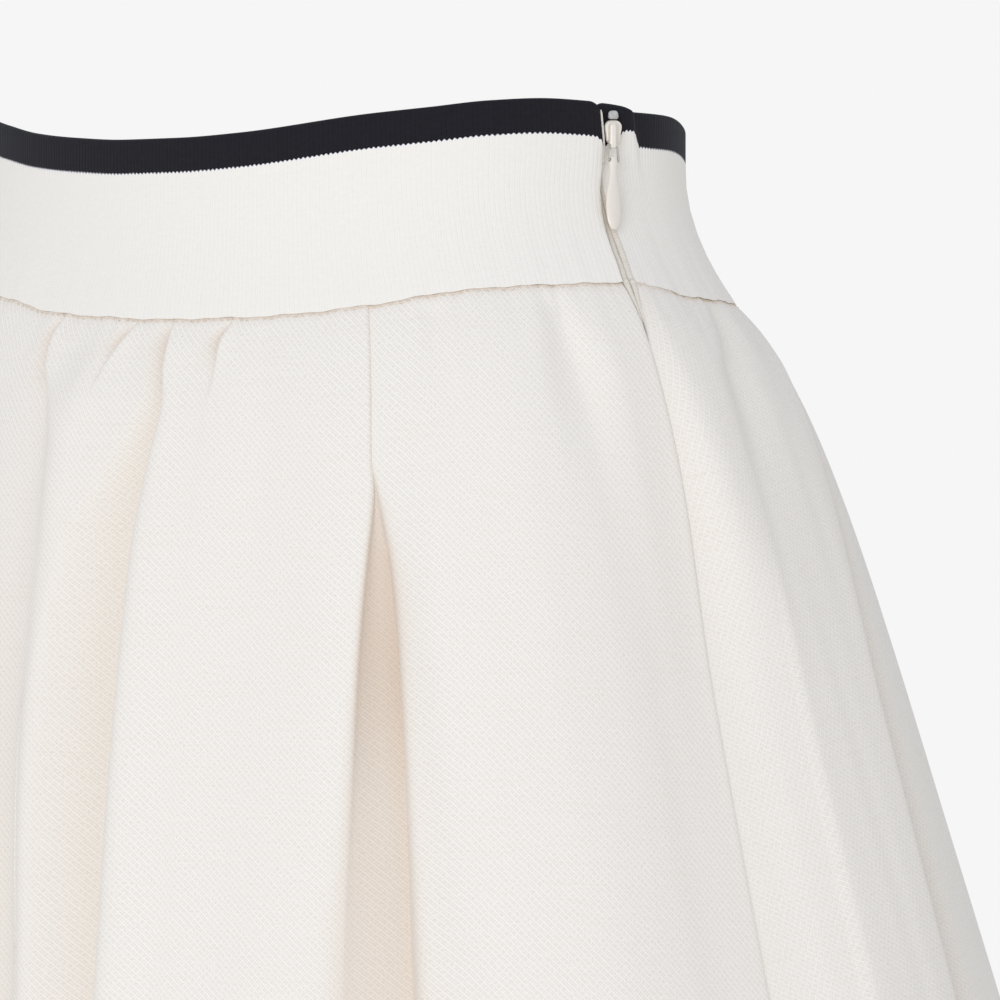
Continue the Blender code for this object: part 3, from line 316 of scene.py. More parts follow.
def foldOffsets(turn, depth, ring):
    # moves along and out that all the folds make together, and the warm shade painted into the colour inside
    # the folds
    step = stepShape
    shadePaint = paintedShadeAmounts
    along = np.zeros(turn.shape)
    out = np.zeros(turn.shape)
    paintedFoldShade = np.zeros(turn.shape)
    pleats = {}
    per = perDegree(ring, turn)
    for fold in folds:
        u = wrap(turn - foldAt(fold, "turn", depth)) * per
        rise, upper, lower = [foldAt(fold, key, depth) for key in ("rise", "upper", "lower")]
        if fold["over"] == 0:
            out -= rise * np.exp(-(u / np.where(u < 0, upper, lower)) ** 2)
            continue
        q = fold["over"] * u    # distance from the step, positive on its lower side
        soft = foldAt(fold, "soft", depth)
        under = 0.5 * (1.0 + np.tanh(q / soft))
        ramp = np.clip(1.0 - q / lower, 0.0, 1.0) ** step["rampPower"]
        gather = foldAt(fold, "lap", depth) + soft * step["softGather"]
        along -= gather * np.tanh(u / soft) * np.exp(-(u / step["lapReach"]) ** 2)
        standing = (1.0 - under) * np.exp(-(np.minimum(q, 0.0) / upper) ** 2)
        out += rise * (step["topShare"] * standing - (1.0 - step["topShare"]) * under * ramp)
        if "pleat" in fold:
            isCrease = fold["name"].startswith("pleatCrease")
            opened = np.clip(rise / shadePaint["pleatRise"], 0.0, 1.0) if isCrease else 1.0
            within = 0.5 * (1.0 + np.tanh(q / soft + shadePaint["pleatStart"]))
            pleats[fold["pleat"]] = pleats.get(fold["pleat"], 1.0) * within * opened
        else:
            reach = np.clip(1.0 - (q - gather) / lower, 0.0, 1.0)
            most = shadePaint["share"] + shadePaint["seamShare"] * np.exp(-(depth / shadePaint["seamDepth"]) ** 2)
            full = np.clip(rise / shadePaint["fullRise"], 0.0, 1.0)
            paintedFoldShade = np.maximum(paintedFoldShade, full * most * under * reach)
        if "line" in fold:
            fromGroove = (u + step["grooveShift"] * fold["over"] * soft) / step["grooveWidth"]
            groove = foldAt(fold, "line", depth) * np.exp(-fromGroove ** 2)
            out -= groove
            # the tuck's groove gets the same painted warm shade in its colour
            paintedFoldShade = np.maximum(paintedFoldShade, np.minimum(groove, 1.0))
    # painted warm shade inside the opened pleats, by depth
    most = np.interp(depth, shadePaint["pleatDepth"], shadePaint["pleatShare"])
    for share in pleats.values():
        paintedFoldShade = np.maximum(paintedFoldShade, most * share)
    return along, out, paintedFoldShade


clothRelief = dict(seamDip=0.3, seamDipDepth=1.1, pucker=0.34, puckerDepth=7.0,
                   puckerSpacing=5.2, mmPerDegree=2.1, wave=0.15, waveDepth=60.0)


def seamPuckers(turn, depth):
    # small uneven puckers that the gathering stitches leave just under the seam
    pace = 2.0 * math.pi * clothRelief["mmPerDegree"] / clothRelief["puckerSpacing"]
    uneven = turn * pace + 1.7 * np.sin(turn * 0.43) + 0.9 * np.sin(turn * 1.13 + 2.0)
    size = 0.55 + 0.45 * np.sin(turn * 0.31 + 0.8) * np.sin(turn * 0.119)
    fade = np.exp(-depth / clothRelief["puckerDepth"])
    return clothRelief["pucker"] * size * np.sin(uneven) * fade


def softWaves(turn, depth):
    # long low unevenness of hanging cloth
    grow = np.clip(depth / clothRelief["waveDepth"], 0.0, 1.0)
    wave = (np.sin(turn * 0.37 + depth * 0.011 + 0.6) + 0.7 * np.sin(turn * 0.83 - depth * 0.017)
            + 0.5 * np.sin(turn * 0.21 + depth * 0.041 + 1.9))
    return clothRelief["wave"] * grow * wave


def skirtPoints(turn, depth, slide):
    ring = skirtRing(depth)
    path = foldPath(turn, depth)
    along, out, paintedFoldShade = foldOffsets(path, depth, ring)
    along = along + slide
    out = out + seamPuckers(turn, depth) + softWaves(turn, depth)
    out = out - clothRelief["seamDip"] * np.exp(-(depth / clothRelief["seamDipDepth"]) ** 2)
    # painted warm shade along the seam line, in the colour
    atSeam = np.exp(-(depth / paintedShadeAmounts["lineDepth"]) ** 2)
    paintedFoldShade = np.maximum(paintedFoldShade, paintedShadeAmounts["lineShare"] * atSeam)
    seam = seamHeight(path + along / perDegree(ring, path)) - skirtShape["seamGap"] / 2
    z = seam + (skirtShape["hemZ"] - seam) * depth / skirtShape["length"]
    return place(ring, path, along, out, z), paintedFoldShade


def openingWidth(depth):
    share = np.clip(1.0 - depth / opening["depth"], 0.0, 1.0)
    gap = skirtShape["seamGap"]
    return gap + (opening["width"] - gap) * share ** opening["power"]


steepest = 1.4      # a wall measured level is made up to this much thicker where it slopes


def levelNormals(points, ends):
    # outward directions of a cloth grid, kept level, longer where the cloth slopes;
    # ends holds those of the first and last columns, where two panels meet
    along = np.gradient(points, axis=1)
    down = np.gradient(points, axis=0)
    normal = np.cross(along, down)
    normal /= np.linalg.norm(normal, axis=2, keepdims=True)
    level = np.stack([along[..., 1], -along[..., 0], 0 * along[..., 0]], axis=-1)
    level /= np.linalg.norm(level, axis=2, keepdims=True)
    if ends is not None:
        level[:, [0, -1]] = ends
    slope = np.clip(np.abs(np.sum(normal * level, axis=2, keepdims=True)), 1 / steepest, 1)
    return level / slope


def gridFaces(section, closedRows=False):
    # section is rows by columns by 3, each row a closed loop of columns; closedRows joins the
    # last row to the first as well
    rows, count = section.shape[:2]
    index = np.arange(rows * count).reshape(rows, count)
    low, high = index[:-1], index[1:]
    if closedRows:
        low, high = index, np.roll(index, -1, axis=0)
    quads = np.stack([low, np.roll(low, -1, axis=1), np.roll(high, -1, axis=1), high], axis=-1)
    return index, quads.reshape(-1, 4)


def meshFrom(name, verts, faces, uvs):
    mesh = bpy.data.meshes.new(name)
    mesh.from_pydata(verts.reshape(-1, 3).tolist(), [], [tuple(int(i) for i in f) for f in faces])
    mesh.validate()
    layer = mesh.uv_layers.new(name="cloth")
    loops = np.zeros(len(mesh.loops), dtype=np.int32)
    mesh.loops.foreach_get("vertex_index", loops)
    layer.data.foreach_set("uv", uvs.reshape(-1, 2)[loops].astype(np.float32).ravel())
    mesh.shade_smooth()
    obj = bpy.data.objects.new(name, mesh)
    bpy.context.scene.collection.objects.link(obj)
    return obj


def turnOutwards(obj):
    # makes every face of a closed piece point outwards
    bm = bmesh.new()
    bm.from_mesh(obj.data)
    bmesh.ops.recalc_face_normals(bm, faces=bm.faces)
    bm.to_mesh(obj.data)
    bm.free()


def lengthsAlong(points):
    # millimetres from the first point to each point of a path
    steps = np.linalg.norm(np.diff(points, axis=0), axis=1)
    return np.concatenate([[0], np.cumsum(steps)]) / mm


def wallObject(name, points, thickness, uv, ends=None):
    # closed thin wall on a grid of points, rows upwards, columns to the right from outside
    columns = points.shape[1]
    half = levelNormals(points, ends) * thickness / 2 * mm
    section = np.concatenate([points + half, (points - half)[:, ::-1]], axis=1)
    uvs = np.concatenate([uv, uv[:, ::-1]], axis=1)
    index, quads = gridFaces(section)
    k = np.arange(columns - 1)
    far = 2 * columns - 1 - k
    foot = np.stack([index[0, k], index[0, far], index[0, far - 1], index[0, k + 1]], axis=-1)
    head = np.stack([index[-1, k], index[-1, k + 1], index[-1, far - 1], index[-1, far]], axis=-1)
    obj = meshFrom(name, section, np.concatenate([quads, foot, head]), uvs)
    obj.data.set_sharp_from_angle(angle=math.radians(70))
    return obj


def linear(hexValue):
    value = [int(hexValue[i:i + 2], 16) / 255 for i in (1, 3, 5)]
    return tuple(c / 12.92 if c <= 0.04045 else ((c + 0.055) / 1.055) ** 2.4 for c in value) + (1.0,)


def fill(tree, node, inputs):
    # inputs, by name or in turn: a number or colour is set there, an output is linked to it
    for key, value in inputs.items() if isinstance(inputs, dict) else enumerate(inputs):
        if isinstance(value, bpy.types.NodeSocket):
            tree.links.new(value, node.inputs[key])
        else:
            node.inputs[key].default_value = value


def addNode(tree, kind, settings, inputs):
    # one node with its settings and its inputs; gives its outputs
    node = tree.nodes.new("ShaderNode" + kind)
    for key, value in settings.items():
        setattr(node, key, value)
    fill(tree, node, inputs)
    return node.outputs


def newMaterial(name):
    mat = bpy.data.materials.new(name)
    mat.use_nodes = True
    return mat, mat.node_tree, mat.node_tree.nodes["Principled BSDF"]


# settings of the nodes that count with numbers, and of the one that mixes two colours, whose
# factor is input 0, whose colours are inputs 6 and 7 and whose colour comes out of output 2
plus = {"operation": "ADD"}
minus = {"operation": "SUBTRACT"}
times = {"operation": "MULTIPLY"}
timesPlus = {"operation": "MULTIPLY_ADD"}
cosine = {"operation": "COSINE"}
power = {"operation": "POWER"}
blend = {"data_type": "RGBA"}


# pit and the fold colour are painted shade: in the weave's hollows and inside the folds
clothLook = dict(light="#f6f1e7", pit="#bfae98", slub="#ecdfce", paintedFoldShade="#e1cfbc",
                 twill=1.46, cross=1.53, lean=0.87, dots=0.60, rows=0.30, pits=0.62,
                 wobbleScale=0.10, wobble=0.6, grainScale=1.3, slubStretch=(0.035, 1.1, 1.0),
                 slubs=0.25, roughness=0.88, bump=0.16, sheen=0.2)


def makeClothMaterial():
    # double-faced twill pique of cotton and wool: matt, with fine diagonal lines, every second one stronger,
    # crossed by a fainter set, and now and then a darker yarn. Inside the folds, in the tucks' grooves and at
    # the seam a warm shade is painted into its colour from an attribute, standing in for the light that ivory
    # cloth throws between its own layers.
    mat, tree, bsdf = newMaterial("twillPiqueCloth")
    look = clothLook
    uv = addNode(tree, "UVMap", {"uv_map": "cloth"}, ())[0]
    # the lines waver a little
    wobble = addNode(tree, "TexNoise", {}, {"Vector": uv, "Scale": look["wobbleScale"], "Detail": 2.0})
    shift = addNode(tree, "Math", timesPlus, (wobble[0], look["wobble"], -look["wobble"] / 2))
    apart = addNode(tree, "SeparateXYZ", {}, (uv,))
    right = addNode(tree, "Math", plus, (apart[0], shift[0]))
    up = addNode(tree, "Math", plus, (apart[1], shift[0]))
    # distances across the two sets of lines, and from them the dips between single threads
    across = (addNode(tree, "Math", timesPlus, (right[0], look["lean"], up[0])),
              addNode(tree, "Math", timesPlus, (up[0], -look["lean"], right[0])))
    dips = []
    for distance, spacing in zip(across, (look["twill"], look["cross"])):
        for count in (1, 2):
            pace = count * 2 * math.pi / spacing / math.hypot(1.0, look["lean"])
            angle = addNode(tree, "Math", times, (distance[0], pace))
            wave = addNode(tree, "Math", cosine, (angle[0],))
            dips.append(addNode(tree, "Math", timesPlus, (wave[0], -0.5, 0.5))[0])
    valley, thin, hollow, thinner = dips
    # small dots where both sets dip, and rows of pits along the stronger lines
    weak = addNode(tree, "Math", timesPlus, (thinner, 0.5, 0.5))
    dots = addNode(tree, "Math", times, (thin, weak[0]))
    deep = addNode(tree, "Math", plus, (hollow, 0.7))
    rows = addNode(tree, "Math", times, (valley, deep[0]))
    rows = addNode(tree, "Math", times, (rows[0], look["rows"]))
    pit = addNode(tree, "Math", timesPlus, (dots[0], look["dots"], rows[0]))
    ridge = addNode(tree, "Math", times, (pit[0], -1.0))
    # a darker yarn now and then, along the weft
    stretch = addNode(tree, "Mapping", {}, {"Vector": uv, "Scale": look["slubStretch"]})
    weft = addNode(tree, "TexNoise", {}, {"Vector": stretch[0], "Scale": 1.0, "Detail": 2.0})
    yarn = addNode(tree, "Math", minus, (weft[0], 0.52))
    yarn = addNode(tree, "Math", dict(times, use_clamp=True), (yarn[0], 3.4))
    yarn = addNode(tree, "Math", times, (yarn[0], look["slubs"]))
    base = addNode(tree, "Mix", blend, {0: yarn[0], 6: linear(look["light"]), 7: linear(look["slub"])})
    # painted warm shade inside the folds, read from the attribute the skirt panels carry
    paintedFoldShade = addNode(tree, "Attribute", {"attribute_name": "paintedFoldShade"}, ())["Fac"]
    base = addNode(tree, "Mix", blend, {0: paintedFoldShade, 6: base[2], 7: linear(look["paintedFoldShade"])})
    # the weave's pits are darkened in colour, unevenly: painted shade in its hollows, besides the bump
    grain = addNode(tree, "TexNoise", {}, {"Vector": uv, "Scale": look["grainScale"], "Detail": 3.0})
    shade = addNode(tree, "Math", timesPlus, (grain[0], 1.5, -0.2))
    shade = addNode(tree, "Math", times, (pit[0], shade[0]))
    shade = addNode(tree, "Math", times, (shade[0], look["pits"]))
    colour = addNode(tree, "Mix", blend, {0: shade[0], 6: base[2], 7: linear(look["pit"])})
    bump = addNode(tree, "Bump", {}, {"Height": ridge[0], "Strength": 0.6, "Distance": look["bump"] * mm})
    fill(tree, bsdf, {"Base Color": colour[2], "Normal": bump[0], "Roughness": look["roughness"],
                      "Sheen Weight": look["sheen"], "Sheen Roughness": 0.5,
                      "Specular IOR Level": 0.25})
    return mat


# groove and navyGroove are painted shade in the grooves between the wales
ribLook = dict(cream="#f3eee4", groove="#d6cec3", navy="#201f24", navyGroove="#0b0b0e",
               rim="#dcdcea", grooves=0.34, rims=0.4, rimDepth=0.35, roughness=0.9,
               course=0.76, tooth=0.30, bump=0.08)


def makeRibMaterial():
    # one by one rib of combed cotton: soft upright wales of small slanting stitches, with a
    # near-black navy edge knitted in, whose border steps once for each wale
    mat, tree, bsdf = newMaterial("ribKnitCotton")
    look = ribLook
    uv = addNode(tree, "UVMap", {"uv_map": "cloth"}, ())[0]
    wale, below = addNode(tree, "SeparateXYZ", {}, (uv,))[:2]
    inWale = addNode(tree, "Math", {"operation": "FRACT"}, (wale,))
    inWale = addNode(tree, "Math", minus, (inWale[0], 0.5))
    fromMiddle = addNode(tree, "Math", {"operation": "ABSOLUTE"}, (inWale[0],))[0]
    noise = addNode(tree, "TexNoise", {}, {"Vector": uv, "Scale": 0.7, "Detail": 2.0})
    uneven = addNode(tree, "Math", minus, (noise[0], 0.5))[0]
    # the stepped border of the navy edge, and the paler stitches right under it
    tooth = addNode(tree, "Math", timesPlus, (fromMiddle, 4 * look["tooth"], -look["tooth"]))
    border = addNode(tree, "Math", timesPlus, (uneven, 0.4, tooth[0]))[0]
    isCream = addNode(tree, "Math", {"operation": "GREATER_THAN"}, (below, border))
    rimEnd = addNode(tree, "Math", plus, (border, look["rimDepth"]))
    isRim = addNode(tree, "Math", {"operation": "LESS_THAN"}, (below, rimEnd[0]))
    # slanting stitches, the groove between two wales and the fine split in the middle of each
    lean = addNode(tree, "Math", times, (fromMiddle, -1.1))
    slant = addNode(tree, "Math", timesPlus, (below, 1 / look["course"], lean[0]))
    angle = addNode(tree, "Math", times, (slant[0], 2 * math.pi))
    stitch = addNode(tree, "Math", cosine, (angle[0],))[0]
    side = addNode(tree, "Math", times, (fromMiddle, 2.0))
    groove = addNode(tree, "Math", power, (side[0], 4.0))
    centre = addNode(tree, "Math", minus, (1.0, side[0]))
    split = addNode(tree, "Math", power, (centre[0], 4.0))
    line = addNode(tree, "Math", timesPlus, (split[0], 0.7, groove[0]))[0]
    strength = addNode(tree, "Math", timesPlus, (uneven, 1.6, 0.5))
    dark = addNode(tree, "Math", times, (line, strength[0]))[0]
    raised = addNode(tree, "Math", times, (stitch, 0.30))
    height = addNode(tree, "Math", minus, (raised[0], line))
    # painted shade: the grooves between wales and the split in each are darkened in colour, in cream and
    # navy, besides the bump; the slanting stitches shade the navy a little
    paintedGrooveShade = addNode(tree, "Math", times, (dark, look["grooves"]))
    cream = addNode(tree, "Mix", blend, {0: paintedGrooveShade[0], 6: linear(look["cream"]), 7: linear(look["groove"])})
    onRim = addNode(tree, "Math", times, (isRim[0], look["rims"]))
    cream = addNode(tree, "Mix", blend, {0: onRim[0], 6: cream[2], 7: linear(look["rim"])})
    darker = addNode(tree, "Math", timesPlus, (stitch, 0.12, dark))
    navy = addNode(tree, "Mix", blend, {0: darker[0], 6: linear(look["navy"]), 7: linear(look["navyGroove"])})
    colour = addNode(tree, "Mix", blend, {0: isCream[0], 6: navy[2], 7: cream[2]})
    bump = addNode(tree, "Bump", {}, {"Height": height[0], "Strength": 0.6, "Distance": look["bump"] * mm})
    fill(tree, bsdf, {"Base Color": colour[2], "Normal": bump[0], "Roughness": look["roughness"],
                      "Sheen Weight": 0.08, "Specular IOR Level": 0.15})
    return mat


tapeLook = dict(colour="#eee7da", dark="#d4c9b8", shade=0.5, thread=0.45, herringbone=1.2,
                bump=0.06, roughness=0.8)


def makeTapeMaterial():
    # woven polyester zip tape: a flat fine herringbone with a slight gloss
    mat, tree, bsdf = newMaterial("wovenPolyesterTape")
    look = tapeLook
    uv = addNode(tree, "UVMap", {"uv_map": "cloth"}, ())[0]
    right, up = addNode(tree, "SeparateXYZ", {}, (uv,))[:2]
    side = addNode(tree, "Math", {"operation": "PINGPONG"}, (right, look["herringbone"]))
    slant = addNode(tree, "Math", plus, (up, side[0]))
    angle = addNode(tree, "Math", times, (slant[0], 2 * math.pi / look["thread"]))
    weave = addNode(tree, "Math", cosine, (angle[0],))
    shade = addNode(tree, "Math", timesPlus, (weave[0], -look["shade"] / 2, look["shade"] / 2))
    colour = addNode(tree, "Mix", blend, {0: shade[0], 6: linear(look["colour"]), 7: linear(look["dark"])})
    bump = addNode(tree, "Bump", {}, {"Height": weave[0], "Strength": 0.5, "Distance": look["bump"] * mm})
    fill(tree, bsdf, {"Base Color": colour[2], "Normal": bump[0], "Roughness": look["roughness"]})
    return mat


# spun polyester sewing thread: matt beige, a little darker than the cloth, uneven in tone
threadLook = dict(name="spunPolyesterThread", scale=260.0, detail=2.0, amount=1.0,
                  light="#e9dfd0", dark="#c8b8a0", finish={"Roughness": 0.85})
# zinc casting with a baked cream enamel: smooth, glossy, softened at its edges
enamelLook = dict(name="bakedCreamEnamel", scale=420.0, detail=3.0, amount=0.25, bump=0.03,
                  light="#eee5d7", dark="#ddd1bf",
                  finish={"Roughness": 0.28, "Coat Weight": 0.5, "Coat Roughness": 0.12})
# drawn nickel-plated wire with a light enamel wash: grey, bright where it bends
wireLook = dict(name="nickelPlatedWire", scale=900.0, detail=2.0, amount=1.0,
                light="#d6d2c6", dark="#a3a093", finish={"Metallic": 0.3, "Roughness": 0.3})
# moulded nylon stop: a pale greyish white
stopLook = dict(name="mouldedNylonStop", scale=700.0, detail=2.0, amount=1.0,
                light="#d6d5d0", dark="#96958f", finish={"Roughness": 0.35})


def makeCloudedMaterial(look):
    # a finish without a weave, whose tone varies a little from place to place
    mat, tree, bsdf = newMaterial(look["name"])
    spot = addNode(tree, "TexCoord", {}, ())["Object"]
    noise = {"Vector": spot, "Scale": look["scale"], "Detail": look["detail"]}
    cloud = addNode(tree, "TexNoise", {}, noise)[0]
    amount = addNode(tree, "Math", times, (cloud, look["amount"]))
    colour = addNode(tree, "Mix", blend, {0: amount[0], 6: linear(look["light"]), 7: linear(look["dark"])})
    fill(tree, bsdf, dict(look["finish"], **{"Base Color": colour[2]}))
    if "bump" in look:
        bump = addNode(tree, "Bump", {}, {"Height": cloud, "Strength": 0.2, "Distance": look["bump"] * mm})
        fill(tree, bsdf, {"Normal": bump[0]})
    return mat


skirtMesh = dict(frontColumns=430, backColumns=420, rows=103, tuckIn=1.2, rowPower=2.2,
                 frontFan=0.13, backFan=0.27, fanDepth=150.0, fanMargin=15.0, slideFade=9.0,
                 frontFlat=(0.74, 0.40), frontArea=0.22, backFlat=(0.98, 0.40), backArea=0.29)


def fineColumns(start, end, count):
    # turns from start to end, closer together by the folds
    fine = np.linspace(start, end, 6000)
    need = np.full(fine.shape, 1.0)
    for fold in folds:
        away = wrap(fine - fold["turn"][0]) * perDegree(skirtRing(30.0), fine)
        need += (0.5 if fold["over"] == 0 else 2.6) * np.exp(-(away / 6.0) ** 2)
    total = np.concatenate([[0.0], np.cumsum((need[1:] + need[:-1]) / 2)])
    return np.interp(np.linspace(0, total[-1], count + 1), total, fine)


def skirtRows(count):
    # depths from the hem up, closer together under the seam
    t = np.linspace(1.0, 0.0, count)
    depths = skirtShape["length"] * (0.30 * t + 0.70 * t ** skirtMesh["rowPower"])
    return np.concatenate([depths, [-skirtMesh["tuckIn"]]])    # its edge goes up into the band


def clothUv(columns, depths, fan):
    # metric map of a panel, laid out flat as it was cut: a fan whose edges lean by that much.
    # Steps of folds are left out, so that the weave runs on without shearing.
    turn, depth = np.meshgrid(columns, depths)
    path = foldPath(turn, depth)
    ring = skirtRing(skirtMesh["fanDepth"])
    margin = skirtMesh["fanMargin"]
    even = np.linspace(columns[0] - margin, columns[-1] + margin, 4000)
    girth = np.cumsum(perDegree(ring, even)) * (even[1] - even[0])
    middle = np.interp((columns[0] + columns[-1]) / 2, even, girth)
    half = (np.interp(columns[-1], even, girth) - np.interp(columns[0], even, girth)) / 2
    lean = fan * (np.interp(path, even, girth) - middle) / half
    reach = half / fan - skirtMesh["fanDepth"] + depth
    grow = np.sqrt(skirtRing(depth)[0] / ring[0] * (half / fan) / reach)
    return np.stack([grow * reach * np.sin(lean), half / fan - reach * np.cos(lean)], axis=-1)


def skirtPanel(name, columns, slide, fan, mat):
    depths = skirtRows(skirtMesh["rows"])
    turn, depth = np.meshgrid(columns, depths)
    points, paintedFoldShade = skirtPoints(turn, depth, slide(turn, depth))
    atEnds = depth[:, [0, -1]]
    nx, ny = ringOutward(skirtRing(atEnds), foldPath(turn[:, [0, -1]], atEnds))
    ends = np.stack([nx, ny, 0 * nx], axis=-1)
    obj = wallObject(name, points, skirtShape["thickness"], clothUv(columns, depths, fan), ends)
    # the painted fold shade goes on the outer side only
    layer = obj.data.attributes.new("paintedFoldShade", "FLOAT", "POINT")
    bothSides = np.concatenate([paintedFoldShade, 0 * paintedFoldShade], axis=1)    # the inner side stays plain
    layer.data.foreach_set("value", bothSides.astype(np.float32).ravel())
    obj.data.materials.append(mat)
    return obj


def frontSlide(turn, depth):
    # how far the panel's cloth moves along the waist, which leaves the gaps of the side seams
    atZip = np.isclose(turn, zipFold["turn"][0])
    atSide = np.isclose(turn, sideFold["turn"][0])
    return skirtShape["seamGap"] / 2 * (atSide.astype(float) - atZip)


def backSlide(turn, depth):
    # the same for the back panel, whose edge at the zip also draws back from the opening
    away = (turn - zipFold["turn"][0]) * perDegree(skirtRing(depth), turn)
    width = openingWidth(depth) - skirtShape["seamGap"] / 2
    atSide = np.isclose(turn, sideFold["turn"][0] + 360.0)
    return width * np.exp(-away / skirtMesh["slideFade"]) - skirtShape["seamGap"] / 2 * atSide


def makeSkirt(mat):
    front = fineColumns(sideFold["turn"][0], zipFold["turn"][0], skirtMesh["frontColumns"])
    back = fineColumns(zipFold["turn"][0], sideFold["turn"][0] + 360.0, skirtMesh["backColumns"])
    frontPanel = skirtPanel("skirtFrontCloth", front, frontSlide, skirtMesh["frontFan"], mat)
    backPanel = skirtPanel("skirtBackCloth", back, backSlide, skirtMesh["backFan"], mat)
    return frontPanel, backPanel


stitchShape = dict(every=2.5, length=1.7, radius=0.19, depth=0.55, lift=0.42, sink=0.22, slant=0.10,
                   start=2.2, rings=7, sides=8, unevenPlace=0.3, unevenLength=0.15, unevenDepth=0.12)


def makeStitches(name, start, end, mat):
    # the sewing thread that shows in the waist seam, one short stitch after another, each of
    # them a little uneven and sunk in the cloth at its ends
    s = stitchShape
    ring = skirtRing(s["depth"])
    even = np.linspace(start, end, 3000)
    girth = np.concatenate([[0], np.cumsum(perDegree(ring, even)[1:] * np.diff(even))])
    number = np.arange(int(girth[-1] / s["every"]) - 1)
    # the three sines have no beat in common, so neighbours differ in all that is uneven
    centre = (number + 1) * s["every"] + s["unevenPlace"] * np.sin(number * 1.9)
    share = np.linspace(-1, 1, s["rings"])
    half = s["length"] / 2 * (1 + s["unevenLength"] * np.sin(number * 2.7))
    turn = np.interp(centre[:, None] + share * half[:, None], girth, even)
    depth = s["depth"] + s["unevenDepth"] * np.sin(number * 4.3)[:, None] + s["slant"] * share
    middle = skirtPoints(turn, depth, 0.0)[0]
    nx, ny = ringOutward(ring, turn)
    out = np.stack([nx, ny, 0 * nx], axis=-1)
    lift = skirtShape["thickness"] / 2 + s["lift"] * (1 - share ** 2) - s["sink"]
    middle = middle + out * lift[:, None] * mm
    along = np.gradient(middle, axis=1)
    across = np.cross(along, out)
    across /= np.linalg.norm(across, axis=2, keepdims=True)
    a = np.linspace(0, 2 * math.pi, s["sides"], endpoint=False)[:, None]
    radius = (s["radius"] * np.sqrt(1.05 - share ** 2))[:, None, None] * mm
    points = middle[:, :, None] + radius * (np.cos(a) * across[:, :, None] + np.sin(a) * out[:, :, None])
    index, quads = gridFaces(points[0])
    faces = [list(q) for q in quads] + [list(index[0, ::-1]), list(index[-1])]
    step = s["rings"] * s["sides"]
    faces = [[int(v) + i * step for v in face] for i in number for face in faces]
    obj = meshFrom(name, points, faces, np.zeros(points.shape[:3] + (2,)))
    turnOutwards(obj)
    obj.data.materials.append(mat)
    return obj


bandMesh = dict(wales=468, perWale=6, rise=0.06, bottomRoll=0.35, bottomRollHeight=0.03,
                heights=(0.0, 0.02, 0.05, 0.10, 0.18, 0.28, 0.40, 0.53, 0.66, 0.79, 0.90, 0.965),
                innerHeights=(0.965, 0.7, 0.4, 0.15, 0.0), shoulder=0.965, waleHeight=0.6,
                overTop=(30, 60, 90, 120, 150), topRise=(0.45, 0.80, 0.95, 0.80, 0.45),
                topRoll=0.9, flat=(0.66, 0.058))
# depth of the navy edge below the band's upper edge, near the zip
stripeLine = dict(turn=(81, 83.5, 86.0, 88.5, 90.6, 92.6, 96, 120),
                  depth=(12.6, 12.6, 10.6, 7.2, 6.4, 10.4, 10.6, 10.4))


def bandSurface(turn, height):
    # middle surface of the band and its turn, before the wales are raised
    ring = bandRing(height)
    backStart = zipEdges["back"][0]
    frontEnd = zipEdges["front"][0] + 360.0
    nearBack = np.exp(-((turn - backStart) / bandEnds["backLean"]) ** 2)
    nearFront = np.exp(-((frontEnd - turn) / bandEnds["frontLean"]) ** 2)
    path = (turn + (zipEdge(height, "back") - backStart) * nearBack
            + (zipEdge(height, "front") + 360.0 - frontEnd) * nearFront)
    per = perDegree(ring, path)
    backAway = (path - zipEdge(height, "back")) * per
    frontAway = (zipEdge(height, "front") + 360.0 - path) * per
    out = zipEdge(height, "frontOut") * np.exp(-(frontAway / bandEnds["frontReach"]) ** 2)
    out = out - zipEdge(height, "backIn") * np.exp(-(backAway / bandEnds["backReach"]) ** 2)
    # the small tuck by the zip, which rises towards the band's upper edge
    tuck = bandTuck
    above = (height - tuck["fade"]) / (1 - tuck["fade"])
    rising = np.clip(above, 0, 1) ** tuck["power"]
    u = (path - tuck["low"] - (tuck["top"] - tuck["low"]) * above) * per
    out = out - tuck["rise"] / 2 * rising * np.tanh(u / tuck["soft"]) * np.exp(-(u / tuck["reach"]) ** 2)
    out = out - bandMesh["bottomRoll"] * np.exp(-(height / bandMesh["bottomRollHeight"]) ** 2)
    top = topHeight(path)
    for away in (backAway, frontAway):
        inside = np.clip(1.0 - away / bandEnds["corner"], 0.0, 1.0)
        top = top - bandEnds["corner"] * (1.0 - np.sqrt(1.0 - inside ** 2)) * bandEnds["cornerShare"]
    seam = seamHeight(path) + skirtShape["seamGap"] / 2
    return ring, path, out, seam, top


